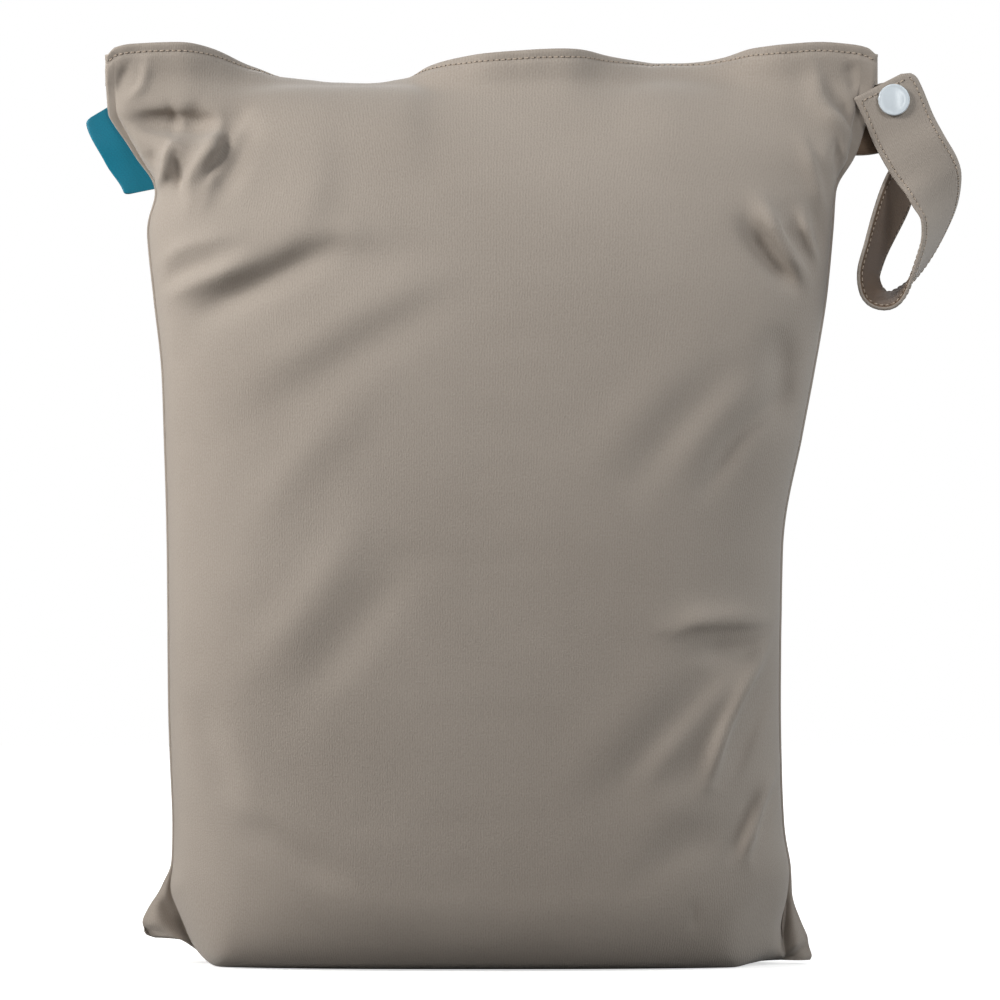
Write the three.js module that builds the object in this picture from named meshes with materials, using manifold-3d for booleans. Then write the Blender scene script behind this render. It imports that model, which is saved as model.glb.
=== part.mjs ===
// Cloth wet bag, filled and standing on its base, with its hanging strap snapped into a loop.
// Millimetres, +Z up. The plain side faces -Y. The origin is on the floor under the middle of the bag.
import * as THREE from 'three';
import Module from 'manifold-3d';

const wasm = await Module();
wasm.setup();

// Driving sizes
const bag_height = 361;
const mouth_width = 300;
const bag_depth = 116;
const cloth = 1.4;
const hem_cloth = 2.2;
const hem_height = 11;
const gap = 0.3;
const mouth_gap = 0.8;
const foot_seam_back = 6;
const seam_fin = 3;
const ear_length = 25;
const roll_height = 60;
const zip_tape = 1.2;
const zip_coil = 2;
const zip_height = 10;
const zip_below_rim = 1.5;
const seam_tail = 5;
const strap_width = 26;
const strap_cloth = 2;
const strap_reach = 40;
const strap_drop = 72;
const strap_below_top = 18.4;
const strap_corner = 8;
const snap_diameter = 12.4;
const snap_cap_height = 1.7;
const snap_body_diameter = 9;
const snap_body_height = 2;
const snap_pin = 3;
const snap_out = 11.3;
const snap_above_strap = 8.4;
const label_length = 37;
const label_reach = 12;
const label_ribbon = 0.9;
const label_below_top = 25;
const label_flare = 0.1;
const hem_ease = 2;
const snap_edge = 0.25;
const snap_body_edge = 0.4;
const mesh_step = 12.5;
const lip_step = 4;
const strap_step = 3.7;
const strap_columns = 3;
const lathe_sides = 16;
const roll_steps = 16;

// Shares of the bag's own sizes: where the corners start and end to lift, the seams part for the tape and the
// tails, and the folds fade out; waist is the usual half width.
const waist = 0.8;
const corner_lift = [0.77, 0.93];
const seam_parts = [0.775, 0.815];
const folds_start = [0.033, 0.11];
const folds_end = [0.928, 0.97];
const fold_fade = [0.4, 1.3];
const fold_full_round = 0.6;

const half_mouth = mouth_width / 2;
const half_depth = bag_depth / 2;
const seam_opening = zip_coil / 2 + mouth_gap;
const layer_step = strap_cloth + snap_body_height + 2 * gap;

function table(names, rows) {
  const keys = names.split(' ');
  return rows.map((row) => Object.fromEntries(keys.map((key, i) => [key, row[i]])));
}

// Sections from the foot seam to the rim. up and rise are shares of bag_height, in the middle and at the side
// seams; front and back of half the depth; left and right of half the mouth; ear of the ear length.
const sections = table(
  'up rise_left rise_right front back left right ear_left ear_right',
  [
    [0, 0.033, 0.006, 0, 0, 0.865, 0.873, 1, 0.4],
    [0, 0.036, 0.01, 0.25, 0.3, 0.866, 0.87, 0.95, 0.4],
    [0, 0.044, 0.022, 0.58, 0.58, 0.864, 0.866, 0.75, 0.38],
    [0.008, 0.062, 0.042, 0.76, 0.76, 0.848, 0.848, 0.4, 0.3],
    [0.033, 0.086, 0.075, 0.9, 0.9, 0.815, 0.822, 0.1, 0.05],
    [0.078, 0.112, 0.105, 0.98, 0.98, 0.791, 0.818, 0, 0],
    [0.15, 0.153, 0.152, 1, 1, 0.789, 0.801, 0, 0],
    [0.28, 0.28, 0.28, 1, 1, 0.8, 0.792, 0, 0],
    [0.45, 0.45, 0.45, 0.97, 0.97, 0.804, 0.798, 0, 0],
    [0.57, 0.57, 0.57, 0.91, 0.91, 0.812, 0.848, 0, 0],
    [0.64, 0.64, 0.64, 0.86, 0.86, 0.818, 0.88, 0, 0],
    [0.725, 0.725, 0.725, 0.76, 0.76, 0.84, 0.914, 0, 0],
    [0.795, 0.795, 0.795, 0.64, 0.64, 0.856, 0.93, 0, 0],
    [0.838, 0.838, 0.838, 0.54, 0.54, 0.834, 0.937, 0, 0],
    [0.88, 0.88, 0.88, 0.4, 0.4, 0.893, 0.99, 0.05, 0.1],
    [0.93, 0.93, 0.93, 0.18, 0.18, 0.958, 1.024, 0.1, 0.18],
    [0.965, 0.965, 0.965, 0.03, 0.03, 0.962, 1.037, 0.1, 0.18],
    [1, 1, 1, 0, 0, 0.962, 1.043, 0.1, 0.18],
  ],
);
const last_section = sections.length - 1;
const foot_sections = 3;
const lip_section = last_section - 2;
const fullness = 2.5;

// The wavy mouth: across is a share of half the mouth, drop of bag_height, roll is how far the rim leans back.
const mouth = table('across drop roll', [
  [-0.97, 0.015, 0],
  [-0.9, 0.002, 0],
  [-0.77, 0, 0],
  [-0.69, 0.006, 25],
  [-0.61, 0.011, 60],
  [-0.48, 0.004, 100],
  [-0.29, 0.003, 112],
  [-0.19, 0.004, 100],
  [-0.1, 0.017, 45],
  [0.06, 0.011, 5],
  [0.23, 0.007, 0],
  [0.35, 0.011, 40],
  [0.5, 0.002, 75],
  [0.65, 0.007, 55],
  [0.73, 0.006, 20],
  [0.82, 0.002, 0],
  [0.9, 0, 0],
  [0.98, 0.003, 0],
  [1.05, 0.015, 0],
]);

// Folds, ridges positive and dents negative. up, length and width are shares of bag_height, across of half the
// mouth, push of half the depth; turn is the fold's direction in degrees from level, in the bag's own view.
const front_folds = table('across up turn length width push', [
  [-0.54, 0.736, 26, 0.15, 0.035, -0.06],
  [-0.7, 0.74, 20, 0.11, 0.028, 0.05],
  [-0.69, 0.863, 78, 0.1, 0.024, 0.07],
  [-0.62, 0.862, 63, 0.06, 0.022, -0.06],
  [-0.76, 0.905, -10, 0.11, 0.026, -0.06],
  [-0.67, 0.23, -71, 0.13, 0.035, -0.04],
  [-0.48, 0.13, -31, 0.14, 0.035, -0.04],
  [0.79, 0.78, -60, 0.1, 0.026, 0.07],
  [0.76, 0.763, -52, 0.09, 0.024, -0.06],
  [0.79, 0.631, 90, 0.1, 0.036, -0.08],
  [0.67, 0.268, 66, 0.15, 0.026, 0.07],
  [0.71, 0.258, 66, 0.13, 0.022, -0.06],
  [0.73, 0.16, 70, 0.08, 0.024, 0.05],
  [0.56, 0.263, 48, 0.17, 0.036, 0.05],
]);
const back_folds = table('across up turn length width push', [
  [0.55, 0.75, 28, 0.16, 0.035, -0.06],
  [0.68, 0.82, 60, 0.1, 0.028, 0.06],
  [-0.62, 0.8, -62, 0.12, 0.028, 0.06],
  [-0.7, 0.66, 84, 0.12, 0.034, -0.07],
  [-0.6, 0.26, 58, 0.15, 0.03, 0.05],
  [0.6, 0.24, -64, 0.15, 0.03, -0.06],
  [0.5, 0.13, -30, 0.14, 0.034, 0.05],
]);

// The strap from its root in the side seam, round the loop, to the snapped end. out is a share of strap_reach,
// back of strap_width, up of strap_drop, lap of the snap's layer step; edge_* points to the strap's near edge.
const strap_route = table('out back lap up edge_x edge_y edge_z', [
  [0, 0, 0, 0, 0, 0, -1],
  [0.15, 0, 0, 0.02, 0.15, 0, -1],
  [0.29, 0, 0, 0.05, 0.1, 0, -1],
  [0.48, 0, 0, 0.06, 0.05, 0, -1],
  [0.56, 0.04, 0, 0.05, 0, -0.25, -0.97],
  [0.63, 0.17, 0, 0.02, -0.15, -0.75, -0.65],
  [0.67, 0.33, 0, -0.05, -0.3, -0.93, -0.25],
  [0.61, 0.39, 0, -0.15, -0.42, -0.9, 0],
  [0.45, 0.33, 0, -0.29, -0.5, -0.85, 0.1],
  [0.29, 0.23, 0, -0.43, -0.5, -0.85, 0.15],
  [0.18, 0.12, 0, -0.58, -0.42, -0.9, 0.1],
  [0.08, 0.04, 0, -0.73, -0.36, -0.93, 0.05],
  [0.03, 0, 0, -0.85, -0.35, -0.93, -0.1],
  [0.09, 0, 0, -0.95, -0.32, -0.9, -0.28],
  [0.24, 0, 0, -0.97, -0.3, -0.9, -0.32],
  [0.39, 0, 0, -0.89, -0.3, -0.93, -0.2],
  [0.55, 0, 0, -0.76, -0.34, -0.94, -0.05],
  [0.68, -0.04, 0, -0.62, -0.38, -0.92, 0],
  [0.72, -0.12, 0, -0.48, -0.6, -0.8, -0.05],
  [0.66, -0.18, 0.3, -0.32, -0.86, -0.25, -0.42],
  [0.5, -0.06, 1, -0.17, -0.86, 0, -0.5],
  [0.36, 0, 1, -0.03, -0.87, 0, -0.5],
  [0.27, 0, 1, 0.12, -0.87, 0, -0.5],
  [0.22, 0, 1, 0.22, -0.87, 0, -0.5],
]);

// Monotone cubic through one column of a table, so that nothing overshoots between its rows.
function read(rows, keys, column, at) {
  const last = rows.length - 1;
  const x = Math.min(Math.max(at, keys[0]), keys[last]);
  let i = 0;
  while (i < last - 1 && x > keys[i + 1]) i += 1;
  const value = (k) => rows[k][column];
  const slope = (k) => (value(k + 1) - value(k)) / (keys[k + 1] - keys[k]);
  const tangent = (k) => {
    if (k === 0) return slope(0);
    if (k === last) return slope(last - 1);
    const [a, b] = [slope(k - 1), slope(k)];
    return a * b <= 0 ? 0 : (2 * a * b) / (a + b);
  };
  const step = keys[i + 1] - keys[i];
  const t = (x - keys[i]) / step;
  const start = value(i) * (1 + 2 * t) * (1 - t) ** 2 + step * tangent(i) * t * (1 - t) ** 2;
  return start + value(i + 1) * (3 - 2 * t) * t * t + step * tangent(i + 1) * (t - 1) * t * t;
}

const section_keys = sections.map((_, i) => i);
const mouth_keys = mouth.map((row) => row.across);
const { smoothstep } = THREE.MathUtils;

function section_at(station) {
  const names = Object.keys(sections[0]);
  return Object.fromEntries(names.map((name) => [name, read(sections, section_keys, name, station)]));
}

function rim_height(x) {
  return bag_height * (1 - read(mouth, mouth_keys, 'drop', x / half_mouth));
}

// Leans the part of the bag above roll_height backwards, more towards the rim.
function roll_back(point) {
  const start = bag_height - roll_height;
  if (point.z <= start) return point;
  const length = rim_height(point.x) - start;
  const lean = THREE.MathUtils.degToRad(read(mouth, mouth_keys, 'roll', point.x / half_mouth));
  const reach = point.z - start;
  let back = 0;
  let up = start;
  for (let i = 0; i < roll_steps; i += 1) {
    const angle = lean * (((i + 0.5) / roll_steps) * (reach / length)) ** 2;
    back += (Math.sin(angle) * reach) / roll_steps;
    up += (Math.cos(angle) * reach) / roll_steps;
  }
  const angle = lean * (reach / length) ** 2;
  return new THREE.Vector3(
    point.x,
    back + point.y * Math.cos(angle),
    up - point.y * Math.sin(angle),
  );
}

function fold_push(folds, x, z) {
  return folds.reduce((total, fold) => {
    const turn = THREE.MathUtils.degToRad(fold.turn);
    const dx = x - fold.across * half_mouth;
    const dz = z - fold.up * bag_height;
    const along = (dx * Math.cos(turn) + dz * Math.sin(turn)) / ((fold.length * bag_height) / 2);
    const off = (dz * Math.cos(turn) - dx * Math.sin(turn)) / ((fold.width * bag_height) / 2);
    const fade = 1 - smoothstep(Math.abs(along), ...fold_fade);
    return total + fold.push * half_depth * Math.exp(-off * off) * fade;
  }, 0);
}

// Columns across a panel: even steps along a nominal section, then the flat fin at each side seam.
function even_shares(count) {
  const samples = 400;
  const path = [0];
  const round = (w) => half_depth * (1 - w ** fullness) ** (1 / fullness);
  for (let i = 1; i <= samples; i += 1) {
    const [a, b] = [(i - 1) / samples, i / samples];
    path.push(path[i - 1] + Math.hypot((b - a) * half_mouth * waist, round(b) - round(a)));
  }
  const shares = [];
  for (let k = 0; k <= count; k += 1) {
    shares.push(path.findIndex((length) => length >= (path[samples] * k) / count - 1e-9) / samples);
  }
  return shares;
}

const half_count = Math.round((half_mouth * waist + half_depth / 2) / mesh_step);
const body_shares = even_shares(half_count);
const fin_shares = [0.5, 1];
const right_columns = [
  ...body_shares.slice(1).map((share) => ({ side: 1, share, fin: 0 })),
  ...fin_shares.map((fin) => ({ side: 1, share: 1, fin })),
];
const left_columns = right_columns.map((column) => ({ ...column, side: -1 })).reverse();
const columns = [...left_columns, { side: 1, share: 0, fin: 0 }, ...right_columns];

// Stations up a panel: each stretch between two sections is divided into even steps.
const stations = [0];
for (let i = 0; i < last_section; i += 1) {
  const [low, high] = [sections[i], sections[i + 1]];
  const length = Math.hypot((high.up - low.up) * bag_height, (high.front - low.front) * half_depth);
  const count = Math.max(1, Math.round(length / (i < lip_section ? mesh_step : lip_step)));
  for (let k = 1; k <= count; k += 1) stations.push(i + k / count);
}

function half_width(section, side) {
  return half_mouth * (side < 0 ? section.left : section.right);
}

// Where a column crosses a section: x, height before the roll, and the share of the section's depth there.
function grid_place(section, column) {
  const half = half_width(section, column.side);
  const ear = column.side < 0 ? section.ear_left : section.ear_right;
  const fin = seam_fin + ear_length * ear;
  const x = column.side * (column.fin > 0 ? half - fin * (1 - column.fin) : (half - fin) * column.share);
  const rise = column.side < 0 ? section.rise_left : section.rise_right;
  const lift = smoothstep(Math.abs(x) / half, ...corner_lift);
  const above = bag_height - roll_height;
  let z = bag_height * (section.up + (rise - section.up) * lift);
  if (z > above) z = above + ((z - above) * (rim_height(x) - above)) / roll_height;
  return { x, z, round: (1 - column.share ** fullness) ** (1 / fullness), lift };
}

// Half the space between the two panels along their seams: open enough above for the tape and the tails.
function seam_half_gap(z) {
  const parted = smoothstep(z, ...seam_parts.map((share) => share * bag_height));
  return gap / 2 + (seam_opening - gap / 2) * parted;
}

function wall_at(x, z) {
  const hem_start = rim_height(x) - hem_height;
  return cloth + (hem_cloth - cloth) * smoothstep(z, hem_start - hem_ease, hem_start);
}

// The panel's outer face before the roll. side is -1 for the front panel and 1 for the back one.
function outer_point(side, station, column) {
  const section = section_at(station);
  const { x, z, round, lift } = grid_place(section, column);
  const depth = half_depth * (side < 0 ? section.front : section.back);
  const butt = Math.max(0, 1 - station) * (1 - lift);
  const seam = foot_seam_back * round * Math.max(0, 1 - station);
  const [foot, rim] = [folds_start, folds_end].map((ends) => smoothstep(z / bag_height, ...ends));
  const fold = fold_push(side < 0 ? front_folds : back_folds, x, z);
  const folded = fold * Math.min(1, round / fold_full_round) * foot * (1 - rim);
  const out = depth * round + folded + seam_half_gap(z) + wall_at(x, z) * (1 - butt);
  return new THREE.Vector3(x, seam + side * out, z);
}

class Skin {
  constructor() {
    this.vertices = [];
    this.triangles = [];
  }

  add(point) {
    this.vertices.push(point.x, point.y, point.z);
    return this.vertices.length / 3 - 1;
  }

  quad(a, b, c, d) {
    this.triangles.push(a, b, c, a, c, d);
  }

  // Joins the rings of one closed section into a solid bar with flat ends.
  static bar(rings) {
    const skin = new Skin();
    const ids = rings.map((ring) => ring.map((point) => skin.add(point)));
    const count = rings[0].length;
    for (let i = 0; i + 1 < ids.length; i += 1) {
      for (let k = 0; k < count; k += 1) {
        const next = (k + 1) % count;
        skin.quad(ids[i][k], ids[i][next], ids[i + 1][next], ids[i + 1][k]);
      }
    }
    return { skin, ids };
  }

  // Closes one end of a bar; outline is that end's ring, flattened.
  cap(ring, outline, last) {
    for (const [a, b, c] of THREE.ShapeUtils.triangulateShape(outline, [])) {
      const forward = (a < b && b < c) || (b < c && c < a) || (c < a && a < b);
      const face = forward === last ? [a, b, c] : [a, c, b];
      this.triangles.push(...face.map((i) => ring[i]));
    }
  }

  manifold() {
    const data = { numProp: 3, vertProperties: new Float32Array(this.vertices) };
    return new wasm.Manifold(new wasm.Mesh({ ...data, triVerts: new Uint32Array(this.triangles) }));
  }

  turned_out() {
    const v = this.vertices;
    let volume = 0;
    for (let i = 0; i < this.triangles.length; i += 3) {
      const [a, b, c] = this.triangles.slice(i, i + 3).map((k) => new THREE.Vector3(...v.slice(3 * k, 3 * k + 3)));
      volume += a.dot(b.cross(c));
    }
    if (volume < 0) this.triangles.reverse();
    return this;
  }

  geometry() {
    const geometry = new THREE.BufferGeometry();
    geometry.setAttribute('position', new THREE.Float32BufferAttribute(this.vertices, 3));
    geometry.setIndex(this.triangles);
    geometry.computeVertexNormals();
    return geometry;
  }
}

function grid_normal(grid, i, k) {
  const up = grid[Math.min(i + 1, grid.length - 1)][k].clone().sub(grid[Math.max(i - 1, 0)][k]);
  const row = grid[i];
  const across = row[Math.min(k + 1, row.length - 1)].clone().sub(row[Math.max(k - 1, 0)]);
  return across.cross(up).normalize();
}

// A cloth panel: the outer face, the same face moved in by the wall, and the edge strips between them.
function panel(side) {
  const outer = stations.map((station) => columns.map((column) => outer_point(side, station, column)));
  const inner = outer.map((row, i) =>
    row.map((point, k) => {
      const inward = grid_normal(outer, i, k).multiplyScalar(side);
      const moved = point.clone().addScaledVector(inward, wall_at(point.x, point.z));
      const { round } = grid_place(section_at(stations[i]), columns[k]);
      const seam = stations[i] < foot_sections ? foot_seam_back * round : 0;
      const limit = seam + side * seam_half_gap(point.z);
      moved.y = side < 0 ? Math.min(moved.y, limit) : Math.max(moved.y, limit);
      if (i === 0) moved.x = point.x;
      return moved;
    }),
  );
  const skin = new Skin();
  const ids = [outer, inner].map((face) => face.map((row) => row.map((point) => skin.add(roll_back(point)))));
  for (let i = 0; i + 1 < stations.length; i += 1) {
    for (let k = 0; k + 1 < columns.length; k += 1) {
      const corners = ([low, high]) => [low[k], low[k + 1], high[k + 1], high[k]];
      skin.quad(...corners(ids[0].slice(i, i + 2)));
      skin.quad(...corners(ids[1].slice(i, i + 2)).reverse());
    }
  }
  const top = stations.length - 1;
  const end = columns.length - 1;
  for (let k = 0; k < end; k += 1) {
    skin.quad(ids[0][0][k + 1], ids[0][0][k], ids[1][0][k], ids[1][0][k + 1]);
    skin.quad(ids[0][top][k], ids[0][top][k + 1], ids[1][top][k + 1], ids[1][top][k]);
  }
  for (let i = 0; i < top; i += 1) {
    skin.quad(ids[0][i][0], ids[0][i + 1][0], ids[1][i + 1][0], ids[1][i][0]);
    skin.quad(ids[0][i + 1][end], ids[0][i][end], ids[1][i][end], ids[1][i + 1][end]);
  }
  return skin.turned_out().geometry();
}

// The closure between the hems: a tape with one coil ridge, following the mouth from seam to seam.
function zip_closure() {
  const [tape, coil] = [zip_tape / 2, zip_coil / 2];
  const profile = [
    [-tape, 0], [-tape, 0.4], [-coil, 0.5], [-coil, 0.75], [-tape, 0.85], [-tape, 1],
    [tape, 1], [tape, 0.85], [coil, 0.75], [coil, 0.5], [tape, 0.4], [tape, 0],
  ];
  const rim = section_at(last_section);
  const inset = 1 - gap / half_mouth;
  const rings = columns.map((column) => {
    const x = grid_place(rim, column).x * inset;
    const low = rim_height(x) - zip_below_rim - zip_height;
    return profile.map(([y, share]) => roll_back(new THREE.Vector3(x, y, low + share * zip_height)));
  });
  const { skin, ids } = Skin.bar(rings);
  const outline = profile.map(([y, share]) => new THREE.Vector2(y, share * zip_height));
  skin.cap(ids[0], outline, false);
  skin.cap(ids[ids.length - 1], outline, true);
  return skin.turned_out().geometry();
}

function seam_x(z, side) {
  let [low, high] = [foot_sections, last_section];
  for (let i = 0; i < 30; i += 1) {
    const middle = (low + high) / 2;
    if (section_at(middle).up * bag_height < z) low = middle;
    else high = middle;
  }
  return side * half_width(section_at(low), side);
}

const strap_root_z = bag_height - strap_below_top - strap_width / 2;
const strap_root = new THREE.Vector3(seam_x(strap_root_z, 1), 0, strap_root_z);
const snap_centre = new THREE.Vector3(strap_root.x + snap_out, 0, strap_root_z + snap_above_strap);

const corner_steps = [0.6, 0.3, 0.1];

// A flat strap swept along its route, square at the root and with one round corner at the snapped end.
function strap_solid() {
  const places = strap_route.map(
    (row) =>
      new THREE.Vector3(
        strap_root.x + row.out * strap_reach,
        row.back * strap_width - row.lap * layer_step,
        strap_root.z + row.up * strap_drop,
      ),
  );
  const tail = strap_root.clone();
  tail.x -= seam_tail;
  const points = [tail, ...places];
  const edges = [strap_route[0], ...strap_route];
  const rows = points.map((point, i) => ({ x: point.x, y: point.y, z: point.z, ...edges[i] }));
  const keys = [0];
  for (let i = 1; i < points.length; i += 1) keys.push(keys[i - 1] + points[i].distanceTo(points[i - 1]));
  const length = keys[keys.length - 1];
  const vector = (names, at) => new THREE.Vector3(...names.map((name) => read(rows, keys, name, at)));
  const count = Math.round(length / strap_step);
  const steps = Array.from({ length: count + 1 }, (_, i) => (length * i) / count);
  steps.push(...corner_steps.map((share) => length - strap_corner * share));
  steps.sort((a, b) => a - b);
  const rings = steps.map((at) => {
    const centre = vector(['x', 'y', 'z'], at);
    const reach = length / count / 2;
    const ahead = vector(['x', 'y', 'z'], Math.min(at + reach, length));
    const along = ahead.sub(vector(['x', 'y', 'z'], Math.max(at - reach, 0))).normalize();
    const edge = vector(['edge_x', 'edge_y', 'edge_z'], at);
    edge.addScaledVector(along, -edge.dot(along)).normalize();
    const face = along.clone().cross(edge).normalize();
    const past = Math.max(0, at - length + strap_corner);
    const cut = strap_corner - Math.sqrt(Math.max(0, strap_corner ** 2 - past ** 2));
    const ring = [];
    for (const layer of [-1, 1]) {
      for (let k = 0; k <= strap_columns; k += 1) {
        const share = layer < 0 ? k / strap_columns : 1 - k / strap_columns;
        const width = -strap_width / 2 + cut + (strap_width - cut) * share;
        ring.push(centre.clone().addScaledVector(edge, width).addScaledVector(face, (layer * strap_cloth) / 2));
      }
    }
    return ring;
  });
  const { skin, ids } = Skin.bar(rings);
  for (const [ring, last] of [[ids[0], false], [ids[ids.length - 1], true]]) {
    for (let k = 0; k < strap_columns; k += 1) {
      const across = ring.length - 1 - k;
      const quad = [ring[k], ring[k + 1], ring[across - 1], ring[across]];
      skin.quad(...(last ? quad : quad.reverse()));
    }
  }
  return skin.turned_out().manifold();
}

function from_manifold(solid) {
  const mesh = solid.getMesh();
  const geometry = new THREE.BufferGeometry();
  geometry.setAttribute('position', new THREE.Float32BufferAttribute(Array.from(mesh.vertProperties), 3));
  geometry.setIndex(Array.from(mesh.triVerts));
  geometry.computeVertexNormals();
  return geometry;
}

// A turned piece on the snap's axis. The profile runs from back to front: radius, then distance towards -Y.
function turned(profile) {
  const points = profile.map(([radius, forward]) => new THREE.Vector2(radius, forward));
  const lathe = new THREE.LatheGeometry(points, lathe_sides);
  lathe.rotateX(Math.PI);
  lathe.translate(snap_centre.x, snap_centre.y, snap_centre.z);
  return lathe;
}

function merged(geometry) {
  const skin = new Skin();
  const seen = new Map();
  const position = geometry.getAttribute('position');
  const ids = [];
  for (let i = 0; i < position.count; i += 1) {
    const point = new THREE.Vector3().fromBufferAttribute(position, i);
    const key = point.toArray().map((value) => Math.round(value * 1e4)).join();
    if (!seen.has(key)) seen.set(key, skin.add(point));
    ids.push(seen.get(key));
  }
  const index = Array.from(geometry.getIndex().array);
  for (let i = 0; i < index.length; i += 3) {
    const [a, b, c] = index.slice(i, i + 3).map((k) => ids[k]);
    if (a !== b && b !== c && c !== a) skin.triangles.push(a, b, c);
  }
  return skin.turned_out();
}

const snap_bore = snap_pin / 2 + gap;

// One capped rivet half: the disc outside a strap layer and its pin through that layer.
function snap_rivet(outward, face) {
  const radius = snap_diameter / 2;
  const pin_end = face - outward * (gap + strap_cloth + gap + snap_body_height / 2 - gap / 2);
  const at = (distance) => face + outward * distance;
  return merged(
    turned([
      [0, pin_end],
      [snap_pin / 2, pin_end],
      [snap_pin / 2, at(0)],
      [radius - snap_edge, at(0)],
      [radius, at(snap_edge)],
      [radius, at(snap_cap_height * 0.45)],
      [radius * 0.9, at(snap_cap_height * 0.8)],
      [radius * 0.6, at(snap_cap_height * 0.95)],
      [0, at(snap_cap_height)],
    ]),
  ).geometry();
}

function snap_body() {
  const [near, far] = [strap_cloth / 2 + gap, strap_cloth / 2 + gap + snap_body_height];
  const radius = snap_body_diameter / 2;
  const profile = [
    [snap_bore, near],
    [radius, near],
    [radius, far - snap_body_edge],
    [radius - snap_body_edge, far],
    [snap_bore, far],
    [snap_bore, near],
  ];
  return merged(turned(profile)).geometry();
}

function strap() {
  const ends = [-strap_width, strap_width];
  const drill_profile = [[0, ends[0]], [snap_bore, ends[0]], [snap_bore, ends[1]], [0, ends[1]]];
  const drill = merged(turned(drill_profile)).manifold();
  return from_manifold(strap_solid().subtract(drill));
}

// A folded ribbon sewn in the left side seam, along the seam and standing out from it.
const label_way_low = new THREE.Vector3(-0.98, 0, -0.2);
const label_way_high = new THREE.Vector3(-0.86, 0, -0.51);
function side_label() {
  const thick = 2 * label_ribbon + gap;
  const outer = thick / 2;
  const slit = gap / 2;
  const rings = [];
  const count = 5;
  const top = bag_height - label_below_top;
  const run = seam_x(top, -1) - seam_x(top - label_length, -1);
  const drop = Math.sqrt(label_length ** 2 - run ** 2);
  for (let i = 0; i <= count; i += 1) {
    const share = i / count;
    const z = top - drop * (1 - share);
    const outward = label_way_low.clone().lerp(label_way_high, share).normalize();
    const reach = label_reach * (1 + label_flare * (1 - 2 * share));
    const profile = [
      [-seam_tail, -outer], [reach - outer, -outer], [reach - outer * 0.3, -outer * 0.7], [reach, 0],
      [reach - outer * 0.3, outer * 0.7], [reach - outer, outer], [-seam_tail, outer], [-seam_tail, slit],
      [reach - outer, slit], [reach - outer, -slit], [-seam_tail, -slit],
    ];
    const seam = new THREE.Vector3(seam_x(z, -1), 0, z);
    rings.push(profile.map(([out, y]) => seam.clone().addScaledVector(outward, out).setY(y)));
  }
  const { skin, ids } = Skin.bar(rings);
  const outline = rings[0].map((point) => new THREE.Vector2(point.x, point.y));
  skin.cap(ids[0], outline, false);
  skin.cap(ids[count], outline, true);
  return skin.turned_out().geometry();
}

const bag_cloth = () => new THREE.MeshStandardMaterial({ color: 0x9c8f84, roughness: 0.85, metalness: 0 });
const zip_plastic = () => new THREE.MeshStandardMaterial({ color: 0x8f8378, roughness: 0.6, metalness: 0 });
const snap_plastic = () => new THREE.MeshStandardMaterial({ color: 0xdfe7ea, roughness: 0.25, metalness: 0 });
const label_cloth = () => new THREE.MeshStandardMaterial({ color: 0x046a7e, roughness: 0.6, metalness: 0 });

const free_face = layer_step + strap_cloth / 2 + gap;
const root_face = -strap_cloth / 2 - gap;
const bag = new THREE.Group();
for (const [name, geometry, material] of [
  ['front_panel', panel(-1), bag_cloth()],
  ['back_panel', panel(1), bag_cloth()],
  ['zip_closure', zip_closure(), zip_plastic()],
  ['strap', strap(), bag_cloth()],
  ['snap_cap', snap_rivet(1, free_face), snap_plastic()],
  ['snap_body', snap_body(), snap_plastic()],
  ['snap_back_cap', snap_rivet(-1, root_face), snap_plastic()],
  ['side_label', side_label(), label_cloth()],
]) {
  const mesh = new THREE.Mesh(geometry, material);
  mesh.name = name;
  bag.add(mesh);
}

export default bag;
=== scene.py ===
# Cloth wet bag, filled and standing, with its strap snapped into a loop: the finished look.
# Metres, +Z up, the plain side of the bag towards -Y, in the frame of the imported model.
import math

import bmesh
import bpy
import numpy as np
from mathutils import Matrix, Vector
from mathutils.bvhtree import BVHTree


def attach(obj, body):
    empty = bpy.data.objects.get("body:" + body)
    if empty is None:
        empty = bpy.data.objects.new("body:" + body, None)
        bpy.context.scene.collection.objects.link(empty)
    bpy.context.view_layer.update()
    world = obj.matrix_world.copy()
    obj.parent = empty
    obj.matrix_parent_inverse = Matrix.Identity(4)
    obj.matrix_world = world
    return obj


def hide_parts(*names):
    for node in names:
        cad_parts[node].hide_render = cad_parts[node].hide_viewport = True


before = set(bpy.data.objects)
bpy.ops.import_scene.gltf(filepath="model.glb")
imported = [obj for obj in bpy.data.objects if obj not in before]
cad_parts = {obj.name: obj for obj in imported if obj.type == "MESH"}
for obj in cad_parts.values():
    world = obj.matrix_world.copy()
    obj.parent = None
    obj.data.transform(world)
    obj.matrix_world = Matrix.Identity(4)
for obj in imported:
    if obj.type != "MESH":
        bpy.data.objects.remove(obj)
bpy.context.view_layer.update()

MM = 0.001
BAG_HEIGHT = 361 * MM
HALF_MOUTH = 150 * MM
HALF_DEPTH = 58 * MM
CLOTH = 1.0 * MM
HEM_FOLD = 2.2 * MM
HEM_HEIGHT = 11 * MM
GAP = 0.3 * MM
SEAM_OPENING = 1.8 * MM
FOOT_SEAM_BACK = 6 * MM
SEAM_FIN = 0.3 * MM
SEAM_PRESS = GAP / 2 + 0.35 * MM
EAR_LENGTH = 25 * MM
ROLL_HEIGHT = 60 * MM
FULLNESS = 2.5
STITCH_LINE = 3.6 * MM
STITCH_LENGTH = 1.7 * MM
STITCH_PITCH = 2.3 * MM
THREAD_RADIUS = 0.3 * MM
STRAP_WIDTH = 26 * MM
STRAP_CLOTH = 2 * MM
STRAP_REACH = 40 * MM
STRAP_DROP = 72 * MM
STRAP_CORNER = 5 * MM
STRAP_COLUMNS = 9
STRAP_RINGS = 150
LAYER_STEP = 4.6 * MM
SEAM_TAIL = 5 * MM
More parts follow.
